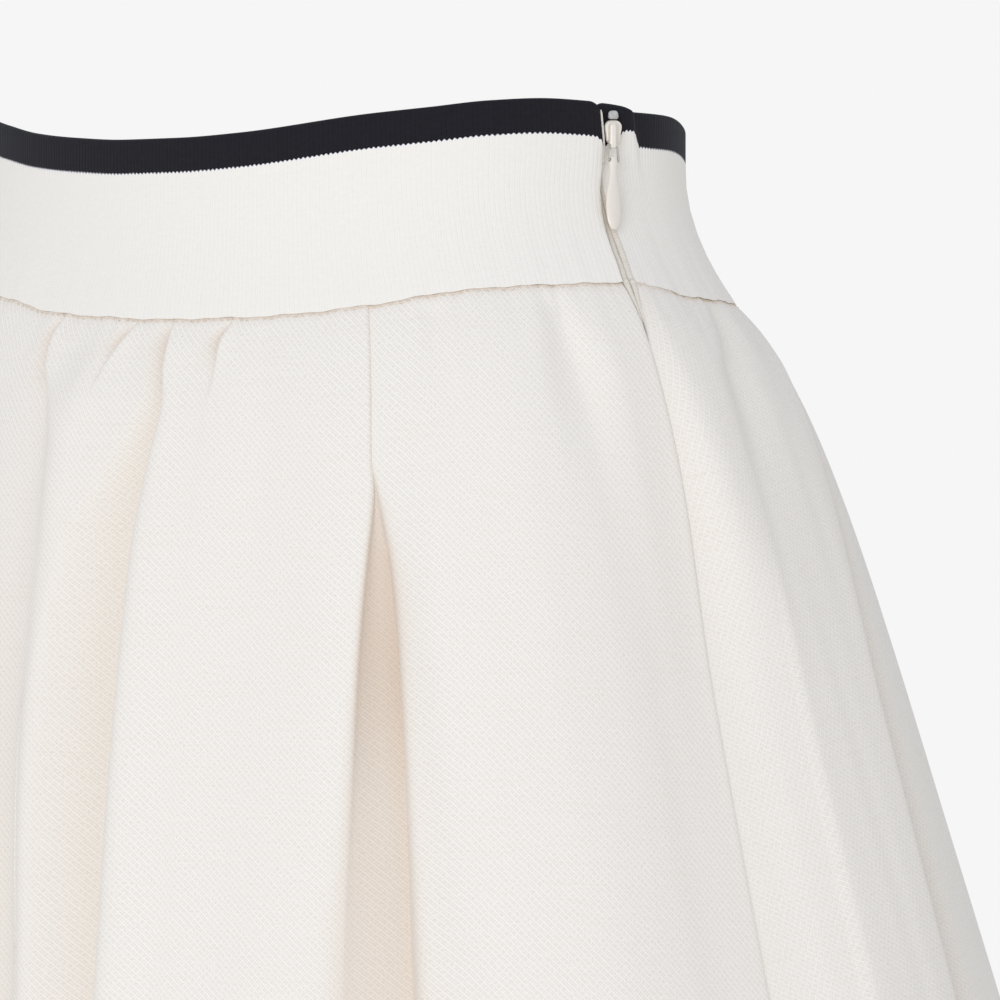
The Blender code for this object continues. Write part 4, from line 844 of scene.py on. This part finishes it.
def makeWaistband(mat):
    m = bandMesh
    columns = m["wales"] * m["perWale"] + 1
    waleAt = np.linspace(0, m["wales"], columns)
    even = np.linspace(zipEdges["back"][0], zipEdges["front"][0] + 360.0, 2000)
    girth = np.concatenate([[0], np.cumsum(perDegree(bandRing(m["waleHeight"]), even)[1:])])
    turns = np.interp(waleAt / m["wales"] * girth[-1], girth, even)
    half = bandShape["thickness"] / 2
    # profile of the wall: up the outside, over the folded top, down the inside; each point has
    # its height, how far out it lies, how much of the wales it shows and its rise in the roll
    profile = [(h, half, 1.0, 0.0) for h in m["heights"]]
    for a, rise in zip(np.radians(m["overTop"]), m["topRise"]):
        profile.append((m["shoulder"], half * math.cos(a), max(math.cos(a), 0.0), rise))
    profile += [(h, -half, 0.0, 0.0) for h in m["innerHeights"]]
    rows = []
    uvs = []
    topRoll = half * m["topRoll"]
    wave = np.abs(np.cos(math.pi * (waleAt + 0.5)))
    for height, outward, raised, rise in profile:
        ring, path, out, seam, top = bandSurface(turns, np.full(turns.shape, height))
        z = seam + (top - topRoll - seam) * height / m["shoulder"] + topRoll * rise
        out = out + outward + m["rise"] * raised * (wave - 0.5)
        rows.append(place(ring, path, 0.0, out, z))
        stripe = smooth(stripeLine["turn"], stripeLine["depth"], path)
        uvs.append(np.stack([waleAt, (top - z) - stripe], axis=-1))
    section = np.array(rows)
    uvs = np.array(uvs)
    # profile runs upwards outside, so columns run right and each loop closes at the foot
    index = np.arange(section.shape[0] * columns).reshape(section.shape[0], columns)
    low, high = index, np.roll(index, -1, axis=0)
    quads = np.stack([low[:, :-1], low[:, 1:], high[:, 1:], high[:, :-1]], axis=-1).reshape(-1, 4)
    obj = meshFrom("waistbandRib", section, quads, uvs)
    bm = bmesh.new()
    bm.from_mesh(obj.data)
    bm.verts.ensure_lookup_table()
    layer = bm.loops.layers.uv["cloth"]
    for end in (index[::-1, 0], index[:, -1]):    # the two ends at the zip
        face = bm.faces.new([bm.verts[int(i)] for i in end])
        for loop in face.loops:
            loop[layer].uv = uvs.reshape(-1, 2)[loop.vert.index]
    bm.normal_update()
    bmesh.ops.triangulate(bm, faces=[f for f in bm.faces if len(f.verts) > 4])
    bm.to_mesh(obj.data)
    bm.free()
    obj.data.set_sharp_from_angle(angle=math.radians(75))
    obj.data.materials.append(mat)
    return obj


tapeShape = dict(halfWidth=7.0, depth=60.0, top=0.93, thickness=0.7, behind=0.6, faceTurn=83.0,
                 flat=(0.014, 0.118))
# the two ribbed folded edges, from millimetres under the seam to a share of the band's height
edgeShape = dict(foot=18.5, head=0.64, radius=1.15, fill=3.9, oval=1.05, inward=0.15, apart=0.1,
                 aside=0.75, sway=0.12, swayPace=0.55, ribbing=0.13, ribEvery=0.9, sides=14,
                 footFade=4.0, footShare=0.35, headFade=0.03, headShare=0.3)
# the thin turned-in edge beside the slider, between two shares of the band's height
turnedShape = dict(foot=0.66, head=0.955, radius=0.42, turn=0.25, out=0.55, fade=0.03, share=0.4,
                   rings=50, sides=10)


def tapePath(level, across):
    # middle of the tape behind the opening, its ring, turn, height and the wall in front of it;
    # level is a share of the band's height, or minus the depth below the seam
    height = np.clip(level, 0.0, 1.0)
    depth = np.clip(-level, 0.0, None)
    inBand = level >= 0
    ring = tuple(np.where(inBand, b, k) for b, k in zip(bandRing(height), skirtRing(depth)))
    middle = (zipEdge(height, "front") + zipEdge(height, "back")) / 2
    halfOpening = openingWidth(depth) / 2 / perDegree(skirtRing(depth), zipFold["turn"][0])
    turn = np.where(inBand, middle, smooth(foldDepths, zipFold["turn"], depth) + halfOpening)
    folded = foldOffsets(turn + across / perDegree(ring, turn), depth, skirtRing(depth))[1]
    wall = np.where(inBand, -zipEdge(height, "backIn"), folded)
    seam = seamHeight(turn)
    z = np.where(inBand, seam + (topHeight(turn) - seam) * height,
                 seam + (skirtShape["hemZ"] - seam) * depth / skirtShape["length"])
    return ring, turn, z, wall


def tubeMesh(name, centres, radii, sides):
    # round or oval cord along a path, with closed ends, radii across and outward by point
    along = np.gradient(centres, axis=0)
    along /= np.linalg.norm(along, axis=1, keepdims=True)
    out = np.array(zipOutward(tapeShape["faceTurn"]))
    out = out - along * (along @ out)[:, None]
    out /= np.linalg.norm(out, axis=1, keepdims=True)
    side = np.cross(along, out)
    a = np.linspace(0, 2 * math.pi, sides, endpoint=False)
    wide, high = radii.T[:, :, None, None]
    points = centres[:, None, :] + (side[:, None, :] * np.cos(a)[None, :, None] * wide
                                    + out[:, None, :] * np.sin(a)[None, :, None] * high) * mm
    index, quads = gridFaces(points)
    uvs = np.stack(np.broadcast_arrays(a * 0.9, lengthsAlong(centres)[:, None]), axis=-1)
    obj = meshFrom(name, points, [list(q) for q in quads] + [list(index[0, ::-1]), list(index[-1])], uvs)
    turnOutwards(obj)
    return obj


def foldedEdge(side, level):
    # one of the two ribbed cords that show in the opening, from the slit's end to the slider
    e = edgeShape
    ring, turn, z, wall = tapePath(level, 0.0)
    height = np.clip(level, 0.0, 1.0)
    gap = (zipEdge(height, "back") - zipEdge(height, "front")) * perDegree(ring, turn)
    gap = np.where(level >= 0, gap, openingWidth(np.clip(-level, 0.0, None)))
    radius = np.minimum(e["radius"], gap / e["fill"])
    aside = e["aside"] * np.clip(gap / 4.0, 0.0, 1.0) + e["sway"] * np.sin(z * e["swayPace"] + side)
    centres = place(ring, turn, side * radius + aside, wall - e["inward"] + e["apart"] * side, z)
    ribs = 1 + e["ribbing"] * np.cos(2 * math.pi * lengthsAlong(centres) / e["ribEvery"] + side)
    fade = np.clip((level + e["foot"]) / e["footFade"], e["footShare"], 1.0)
    fade = fade * np.clip((e["head"] + 0.02 - level) / e["headFade"], e["headShare"], 1.0)
    radii = np.stack([radius * fade * ribs, radius * fade * ribs * e["oval"]], axis=-1)
    return tubeMesh("zipTapeEdge", centres, radii, e["sides"])


def turnedEdge():
    # the thin turned-in edge that shows beside the slider, along the band's front end
    e = turnedShape
    level = np.linspace(e["foot"], e["head"], e["rings"])
    turn = zipEdge(level, "front") + e["turn"]
    seam = seamHeight(turn)
    z = seam + (topHeight(turn) - seam) * level
    centres = place(bandRing(level), turn, 0.0, zipEdge(level, "frontOut") + e["out"], z)
    radius = e["radius"] * np.clip((e["head"] + 0.01 - level) / e["fade"], e["share"], 1.0)
    return tubeMesh("zipTapeTurned", centres, np.stack([radius, radius], axis=-1), e["sides"])


def makeTape(mat):
    # the tape itself, a flat woven band behind the opening, and its folded edges
    t = tapeShape
    levels = np.concatenate([np.linspace(-t["depth"], 0, 40)[:-1], np.linspace(0, t["top"], 40)])
    across, level = np.meshgrid(np.linspace(-t["halfWidth"], t["halfWidth"], 29), levels)
    ring, turn, z, wall = tapePath(level, across)
    height = np.clip(level, 0.0, 1.0)
    slope = np.interp(height, (0.0, bandShape["upright"] / bandShape["height"]), (steepest, 1.0))
    inBand = (t["thickness"] + bandShape["thickness"]) / 2 * slope
    inSkirt = (t["thickness"] + skirtShape["thickness"] + 0.2) / 2 * steepest
    out = wall - t["behind"] - np.where(level >= 0, inBand, inSkirt)
    points = place(ring, turn, across, out, z)
    tapeObj = wallObject("zipTapeCloth", points, t["thickness"], np.stack([across, z], axis=-1))
    slit = np.concatenate([np.linspace(-edgeShape["foot"], 0, 70)[:-1],
                           np.linspace(0, edgeShape["head"], 130)])
    strips = [foldedEdge(-1, slit), foldedEdge(1, slit), turnedEdge()]
    for piece in [tapeObj] + strips:
        piece.data.materials.append(mat)
    return tapeObj, joinPieces(strips, "zipTapeFoldedEdges")


def joinPieces(pieces, name):
    bpy.ops.object.select_all(action="DESELECT")
    for piece in pieces:
        piece.select_set(True)
    bpy.context.view_layer.objects.active = pieces[0]
    bpy.ops.object.join()
    pieces[0].name = name
    return pieces[0]


# the link's upper bar and the pull's eye, and the way the slider and the link face
zipPlace = dict(pivot=(126.265, -9.899, 19.7), eye=(127.230, -10.932, 15.217), faceTurn=83.9,
                sliderTurn=66.0, aside=0.6)
sliderShape = dict(width=6.2, height=6.9, foot=0.9, back=-3.35, flange=0.95, flangeAside=-1.0,
                   flangeNarrow=0.6, flangeCorner=2.5, flangeRounding=0.3, shellWidth=4.6,
                   shellHeight=6.1, shell=1.85, shellNarrow=0.66, shellCorner=1.9,
                   shellRounding=0.7, shellSink=0.1, footCorner=0.8, crown=(2.2, 2.1, 7.4),
                   crownDrop=1.3, crownRounding=0.8, eye=0.72)
linkShape = dict(topHalf=1.8, footHalf=2.2, drop=4.7, wire=0.38, corner=0.9, bend=8, sides=16)
pullShape = dict(drop=(-1.45, -1.30, -0.90, 0.00, 1.50, 3.50, 6.30, 10.20, 14.00, 17.80, 20.20,
                       21.20, 21.50),
                 halfWidth=(0.30, 0.80, 1.22, 1.50, 1.32, 1.22, 1.62, 2.42, 2.78, 2.52, 1.80,
                            0.95, 0.35),
                 halfThickness=(0.25, 0.60, 0.90, 1.05, 0.95, 0.80, 0.85, 0.95, 1.00, 0.93, 0.72,
                                0.42, 0.15),
                 sides=32, rings=34, eye=0.60)
stopShape = dict(width=2.8, height=2.6, thickness=1.4, aside=-1.0, gap=0.3, narrow=0.82,
                 corner=0.95, rounding=0.6)


def zipFrame(origin, up, outward):
    # z up the zip, y outwards and x to the wearer's front, where all its pieces stand a little
    z = up.normalized()
    x = outward.cross(z).normalized()
    turned = Matrix((x, z.cross(x), z)).transposed().to_4x4()
    turned.translation = origin + x * zipPlace["aside"] * mm
    return turned


def zipOutward(turn):
    nx, ny = ringOutward(bandRing(1.0), turn)
    return Vector((float(nx), float(ny), 0.0))


def sliderFrame():
    # the slider is turned on its tape, so it faces further to the front than the band does there
    pivot = Vector(zipPlace["pivot"]) * mm
    return zipFrame(pivot, Vector((0, 0, 1)), zipOutward(zipPlace["sliderTurn"]))


def addBlock(name, size, centre):
    # a block in millimetres times mm, sized in edit mode, so that the object stays unscaled
    bpy.ops.object.select_all(action="DESELECT")
    bpy.ops.mesh.primitive_cube_add(size=mm)
    obj = bpy.context.object
    obj.name = name
    bpy.ops.object.mode_set(mode="EDIT")
    bpy.ops.mesh.select_all(action="SELECT")
    bpy.ops.transform.resize(value=size)
    bpy.ops.transform.translate(value=tuple(c * mm for c in centre))
    bpy.ops.object.mode_set(mode="OBJECT")
    return obj


def selectWhere(obj, kind, test):
    # selects the verts, edges or faces of which test says yes, and goes to edit mode
    bpy.context.view_layer.objects.active = obj
    bpy.ops.object.mode_set(mode="EDIT")
    bpy.ops.mesh.select_mode(type=kind)
    bm = bmesh.from_edit_mesh(obj.data)
    for group in (bm.verts, bm.edges, bm.faces):
        for item in group:
            item.select = False
    for item in {"VERT": bm.verts, "EDGE": bm.edges, "FACE": bm.faces}[kind]:
        if test(item):
            item.select_set(True)
    bmesh.update_edit_mesh(obj.data)


def roundPlate(name, size, centre, headCorner, footCorner, rounding, narrow):
    # a plate that narrows to its foot, with round corners seen from the front and soft edges
    obj = addBlock(name, size, centre)
    middle = centre[2] * mm
    selectWhere(obj, "VERT", lambda v: v.co.z < middle)
    bpy.ops.transform.resize(value=(narrow, 1, 1), center_override=tuple(c * mm for c in centre))
    for corner, isHead in ((headCorner, True), (footCorner, False)):
        selectWhere(obj, "EDGE", lambda e: (e.verts[0].co.z > middle) == isHead
                    and abs((e.verts[0].co - e.verts[1].co).y) > 0.9 * size[1] * mm)
        bpy.ops.mesh.bevel(offset=corner * mm, segments=7, affect="EDGES")
    bpy.ops.object.mode_set(mode="OBJECT")
    soften(obj, rounding, 3)
    return obj


def soften(obj, width, segments):
    bpy.context.view_layer.objects.active = obj
    mod = obj.modifiers.new("softEdges", "BEVEL")
    mod.width = width * mm
    mod.segments = segments
    mod.angle_limit = math.radians(35)
    bpy.ops.object.modifier_apply(modifier=mod.name)


def drill(obj, radius, centre):
    # a round hole across the piece
    bpy.ops.object.select_all(action="DESELECT")
    bpy.ops.mesh.primitive_cylinder_add(vertices=28, radius=radius * mm, depth=9 * mm,
                                        rotation=(0, math.pi / 2, 0),
                                        location=tuple(c * mm for c in centre))
    cutter = bpy.context.object
    bpy.context.view_layer.objects.active = obj
    mod = obj.modifiers.new("hole", "BOOLEAN")
    mod.operation = "DIFFERENCE"
    mod.object = cutter
    bpy.ops.object.modifier_apply(modifier=mod.name)
    bpy.data.objects.remove(cutter, do_unlink=True)


def setDown(obj, matrix, mat):
    # puts a piece in its place, in its mesh, and shades it
    obj.data.transform(matrix)
    obj.data.materials.clear()
    obj.data.materials.append(mat)
    bpy.ops.object.select_all(action="DESELECT")
    obj.select_set(True)
    bpy.context.view_layer.objects.active = obj
    bpy.ops.object.shade_smooth_by_angle(angle=math.radians(40))


def makeSlider(mat):
    # slider body: a thin flange against the tape, a thicker shell on it, and the crown with
    # the cross hole that the link goes through
    d = sliderShape
    middle = d["foot"] + d["height"] / 2
    front = d["back"] + d["flange"] - d["shellSink"]    # where the shell stands on the flange
    flange = roundPlate("zipSliderBody", (d["width"], d["flange"], d["height"]),
                        (d["flangeAside"], d["back"] + d["flange"] / 2, middle),
                        d["flangeCorner"], d["footCorner"], d["flangeRounding"], d["flangeNarrow"])
    shell = roundPlate("zipSliderShell", (d["shellWidth"], d["shell"], d["shellHeight"]),
                       (0, front + d["shell"] / 2, middle),
                       d["shellCorner"], d["footCorner"], d["shellRounding"], d["shellNarrow"])
    crown = addBlock("zipSliderCrown", d["crown"], (0, 0, middle - d["crownDrop"]))
    soften(crown, d["crownRounding"], 5)
    drill(crown, d["eye"], (0, 0, 0))
    pieces = [flange, shell, crown]
    body = joinPieces(pieces, "zipSliderBody")
    setDown(body, sliderFrame(), mat)
    return body


def hangingFrame():
    # the places of the link and of the pull, which hang in line with each other
    pivot = Vector(zipPlace["pivot"]) * mm
    eye = Vector(zipPlace["eye"]) * mm
    outward = zipOutward(zipPlace["faceTurn"])
    return zipFrame(pivot, pivot - eye, outward), zipFrame(eye, pivot - eye, outward)


def makeLink(mat):
    # wire stirrup, a closed loop that hangs from its upper bar
    d = linkShape
    corners = ((-d["topHalf"], 0), (d["topHalf"], 0),
               (d["footHalf"], -d["drop"]), (-d["footHalf"], -d["drop"]))
    path = []
    for i, corner in enumerate(corners):
        here = Vector(corner)
        before = (Vector(corners[i - 1]) - here).normalized() * d["corner"]
        after = (Vector(corners[(i + 1) % 4]) - here).normalized() * d["corner"]
        for t in np.linspace(0, 1, d["bend"]):
            path.append(here + before * (1 - t) ** 2 + after * t ** 2)
    path = np.array([(p.x, 0.0, p.y) for p in path]) * mm
    along = np.roll(path, -1, axis=0) - np.roll(path, 1, axis=0)
    along /= np.linalg.norm(along, axis=1, keepdims=True)
    side = np.cross(along, (0.0, 1.0, 0.0))
    a = np.linspace(0, 2 * math.pi, d["sides"], endpoint=False)
    points = path[:, None, :] + d["wire"] * mm * (side[:, None, :] * np.cos(a)[None, :, None]
                                                 + np.array((0.0, 1.0, 0.0)) * np.sin(a)[None, :, None])
    quads = gridFaces(points, closedRows=True)[1]
    obj = meshFrom("zipLinkWire", points, quads, np.zeros(points.shape[:2] + (2,)))
    turnOutwards(obj)
    setDown(obj, hangingFrame()[0], mat)
    return obj


def makePull(mat):
    # teardrop pull drawn down from a round cap, ring by ring, then drilled for the link
    d = pullShape
    drops = np.interp(np.linspace(0, 1, d["rings"]), np.linspace(0, 1, len(d["drop"])), d["drop"])
    widths = smooth(d["drop"], d["halfWidth"], drops)
    depths = smooth(d["drop"], d["halfThickness"], drops)
    bpy.ops.object.select_all(action="DESELECT")
    bpy.ops.mesh.primitive_circle_add(vertices=d["sides"], radius=mm, fill_type="NGON")
    obj = bpy.context.object
    obj.name = "zipPullTab"
    bpy.ops.object.mode_set(mode="EDIT")
    bpy.ops.mesh.select_all(action="SELECT")
    bpy.ops.transform.resize(value=(widths[0], depths[0], 1))
    bpy.ops.transform.translate(value=(0, 0, -drops[0] * mm))
    for i in range(1, d["rings"]):
        step = (0, 0, (drops[i - 1] - drops[i]) * mm)
        bpy.ops.mesh.extrude_region_move(TRANSFORM_OT_translate={"value": step})
        bpy.ops.transform.resize(value=(widths[i] / widths[i - 1], depths[i] / depths[i - 1], 1))
    bpy.ops.mesh.select_all(action="SELECT")
    bpy.ops.mesh.normals_make_consistent(inside=False)
    bpy.ops.object.mode_set(mode="OBJECT")
    drill(obj, d["eye"], (0, 0, 0))
    setDown(obj, hangingFrame()[1], mat)
    return obj


def makeStop(mat):
    # the stop on the tape right above the slider, a little wider at its foot
    d = stopShape
    foot = sliderShape["foot"] + sliderShape["height"] + d["gap"]
    obj = roundPlate("zipTopStop", (d["width"], d["thickness"], d["height"]),
                     (d["aside"], sliderShape["back"] + d["thickness"] / 2, foot + d["height"] / 2),
                     d["corner"], d["corner"], d["rounding"], 1 / d["narrow"])
    setDown(obj, sliderFrame(), mat)
    return obj


cloth = makeClothMaterial()
rib = makeRibMaterial()
tape = makeTapeMaterial()
thread, enamel, wire, nylon = [makeCloudedMaterial(look)
                               for look in (threadLook, enamelLook, wireLook, stopLook)]
print("materials made")

frontPanel, backPanel = makeSkirt(cloth)
print("skirt cloth", len(frontPanel.data.polygons), len(backPanel.data.polygons))
zipTurn, sideTurn = zipFold["turn"][0], sideFold["turn"][0]
frontStitches = makeStitches("skirtFrontStitches", sideTurn, zipTurn, thread)
backStitches = makeStitches("skirtBackStitches", zipTurn + stitchShape["start"], sideTurn + 360.0, thread)
print("stitches", len(frontStitches.data.polygons), len(backStitches.data.polygons))
waistband = makeWaistband(rib)
print("waistband", len(waistband.data.polygons))

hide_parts("skirt_front")
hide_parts("skirt_back")
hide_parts("waistband")
for piece, slotName in ((frontPanel, "ivory_cloth"), (backPanel, "ivory_cloth"), (waistband, "ivory_rib"),
                        (frontStitches, "ivory_cloth"), (backStitches, "ivory_cloth")):
    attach(piece, "skirt")

tapePiece, tapeEdges = makeTape(tape)
sliderBody = makeSlider(enamel)
linkWire = makeLink(wire)
pullTab = makePull(enamel)
topStop = makeStop(nylon)
print("zip pieces made")
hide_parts("zip_tape")
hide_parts("zip_slider")
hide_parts("zip_link")
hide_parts("zip_pull")
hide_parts("zip_top_stop")
for piece, body, slotName in ((tapePiece, "skirt", "zip_tape"), (tapeEdges, "skirt", "zip_tape"),
                              (sliderBody, "skirt", "cream_enamel"), (linkWire, "link", "link_wire"),
                              (pullTab, "pull", "cream_enamel"), (topStop, "skirt", "clear_stop")):
    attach(piece, body)


studio = dict(azimuth=42.0, distance=2400.0, cameraZ=-45.0, aimAlong=53.2, aimZ=-87.0,
              pixelsPerMm=3.235, floorZ=-1000.0, background="#f6f6f6", ambient=0.78,
              keyTurn=29.0, keyDistance=3.0, keyRise=0.25, keySize=1.4, keyPower=28.5,
              lightColour=(0.90, 0.935, 1.02), sensor=36.0, floorRadius=5.0,
              floorColour="#f6f1e8", floorRoughness=0.9)


def addArea(name, location, aim, size, power, colour):
    light = bpy.data.lights.new(name, "AREA")
    light.energy = power
    light.size = size
    light.color = colour
    obj = bpy.data.objects.new(name, light)
    bpy.context.scene.collection.objects.link(obj)
    obj.location = location
    obj.rotation_euler = (Vector(aim) - Vector(location)).to_track_quat("-Z", "Y").to_euler()


def makeStudio():
    scene = bpy.context.scene
    scene.view_settings.view_transform = "Standard"
    a = math.radians(studio["azimuth"])
    right = Vector((math.cos(a), math.sin(a), 0.0))
    toCamera = Vector((math.sin(a), -math.cos(a), 0.0))
    along = right * studio["aimAlong"]
    aim = (along + Vector((0, 0, studio["aimZ"]))) * mm
    eye = (along + toCamera * studio["distance"] + Vector((0, 0, studio["cameraZ"]))) * mm
    camera = bpy.data.cameras.new("camera")
    camera.sensor_width = studio["sensor"]
    camera.lens = studio["pixelsPerMm"] * studio["distance"] / 1000.0 * studio["sensor"]
    obj = bpy.data.objects.new("camera", camera)
    scene.collection.objects.link(obj)
    obj.location = eye
    obj.rotation_euler = (aim - eye).to_track_quat("-Z", "Y").to_euler()
    scene.camera = obj

    world = bpy.data.worlds.new("studio")
    scene.world = world
    world.use_nodes = True
    tree = world.node_tree
    # the camera sees a paler ground than the light that the same world gives
    seen = addNode(tree, "LightPath", {}, ())["Is Camera Ray"]
    ambient = tuple(studio["ambient"] * c for c in studio["lightColour"]) + (1.0,)
    glow = addNode(tree, "Mix", blend, {0: seen, 6: ambient, 7: linear(studio["background"])})
    fill(tree, tree.nodes["Background"], {"Color": glow[2]})

    key = math.radians(studio["keyTurn"])
    keyAt = Vector((math.sin(key), -math.cos(key), 0.0)) * studio["keyDistance"]
    addArea("keyLight", keyAt + Vector((0, 0, studio["keyRise"])), (0, 0, -0.1),
            studio["keySize"], studio["keyPower"], studio["lightColour"])

    bpy.ops.mesh.primitive_circle_add(vertices=96, radius=studio["floorRadius"], fill_type="NGON",
                                      location=(0, 0, studio["floorZ"] * mm))
    floor = bpy.context.object
    floor.name = "studioFloor"
    mat, floorTree, bsdf = newMaterial("mattPaperFloor")
    fill(floorTree, bsdf, {"Base Color": linear(studio["floorColour"]),
                           "Roughness": studio["floorRoughness"]})
    floor.data.materials.append(mat)


makeStudio()
print("studio and camera set")
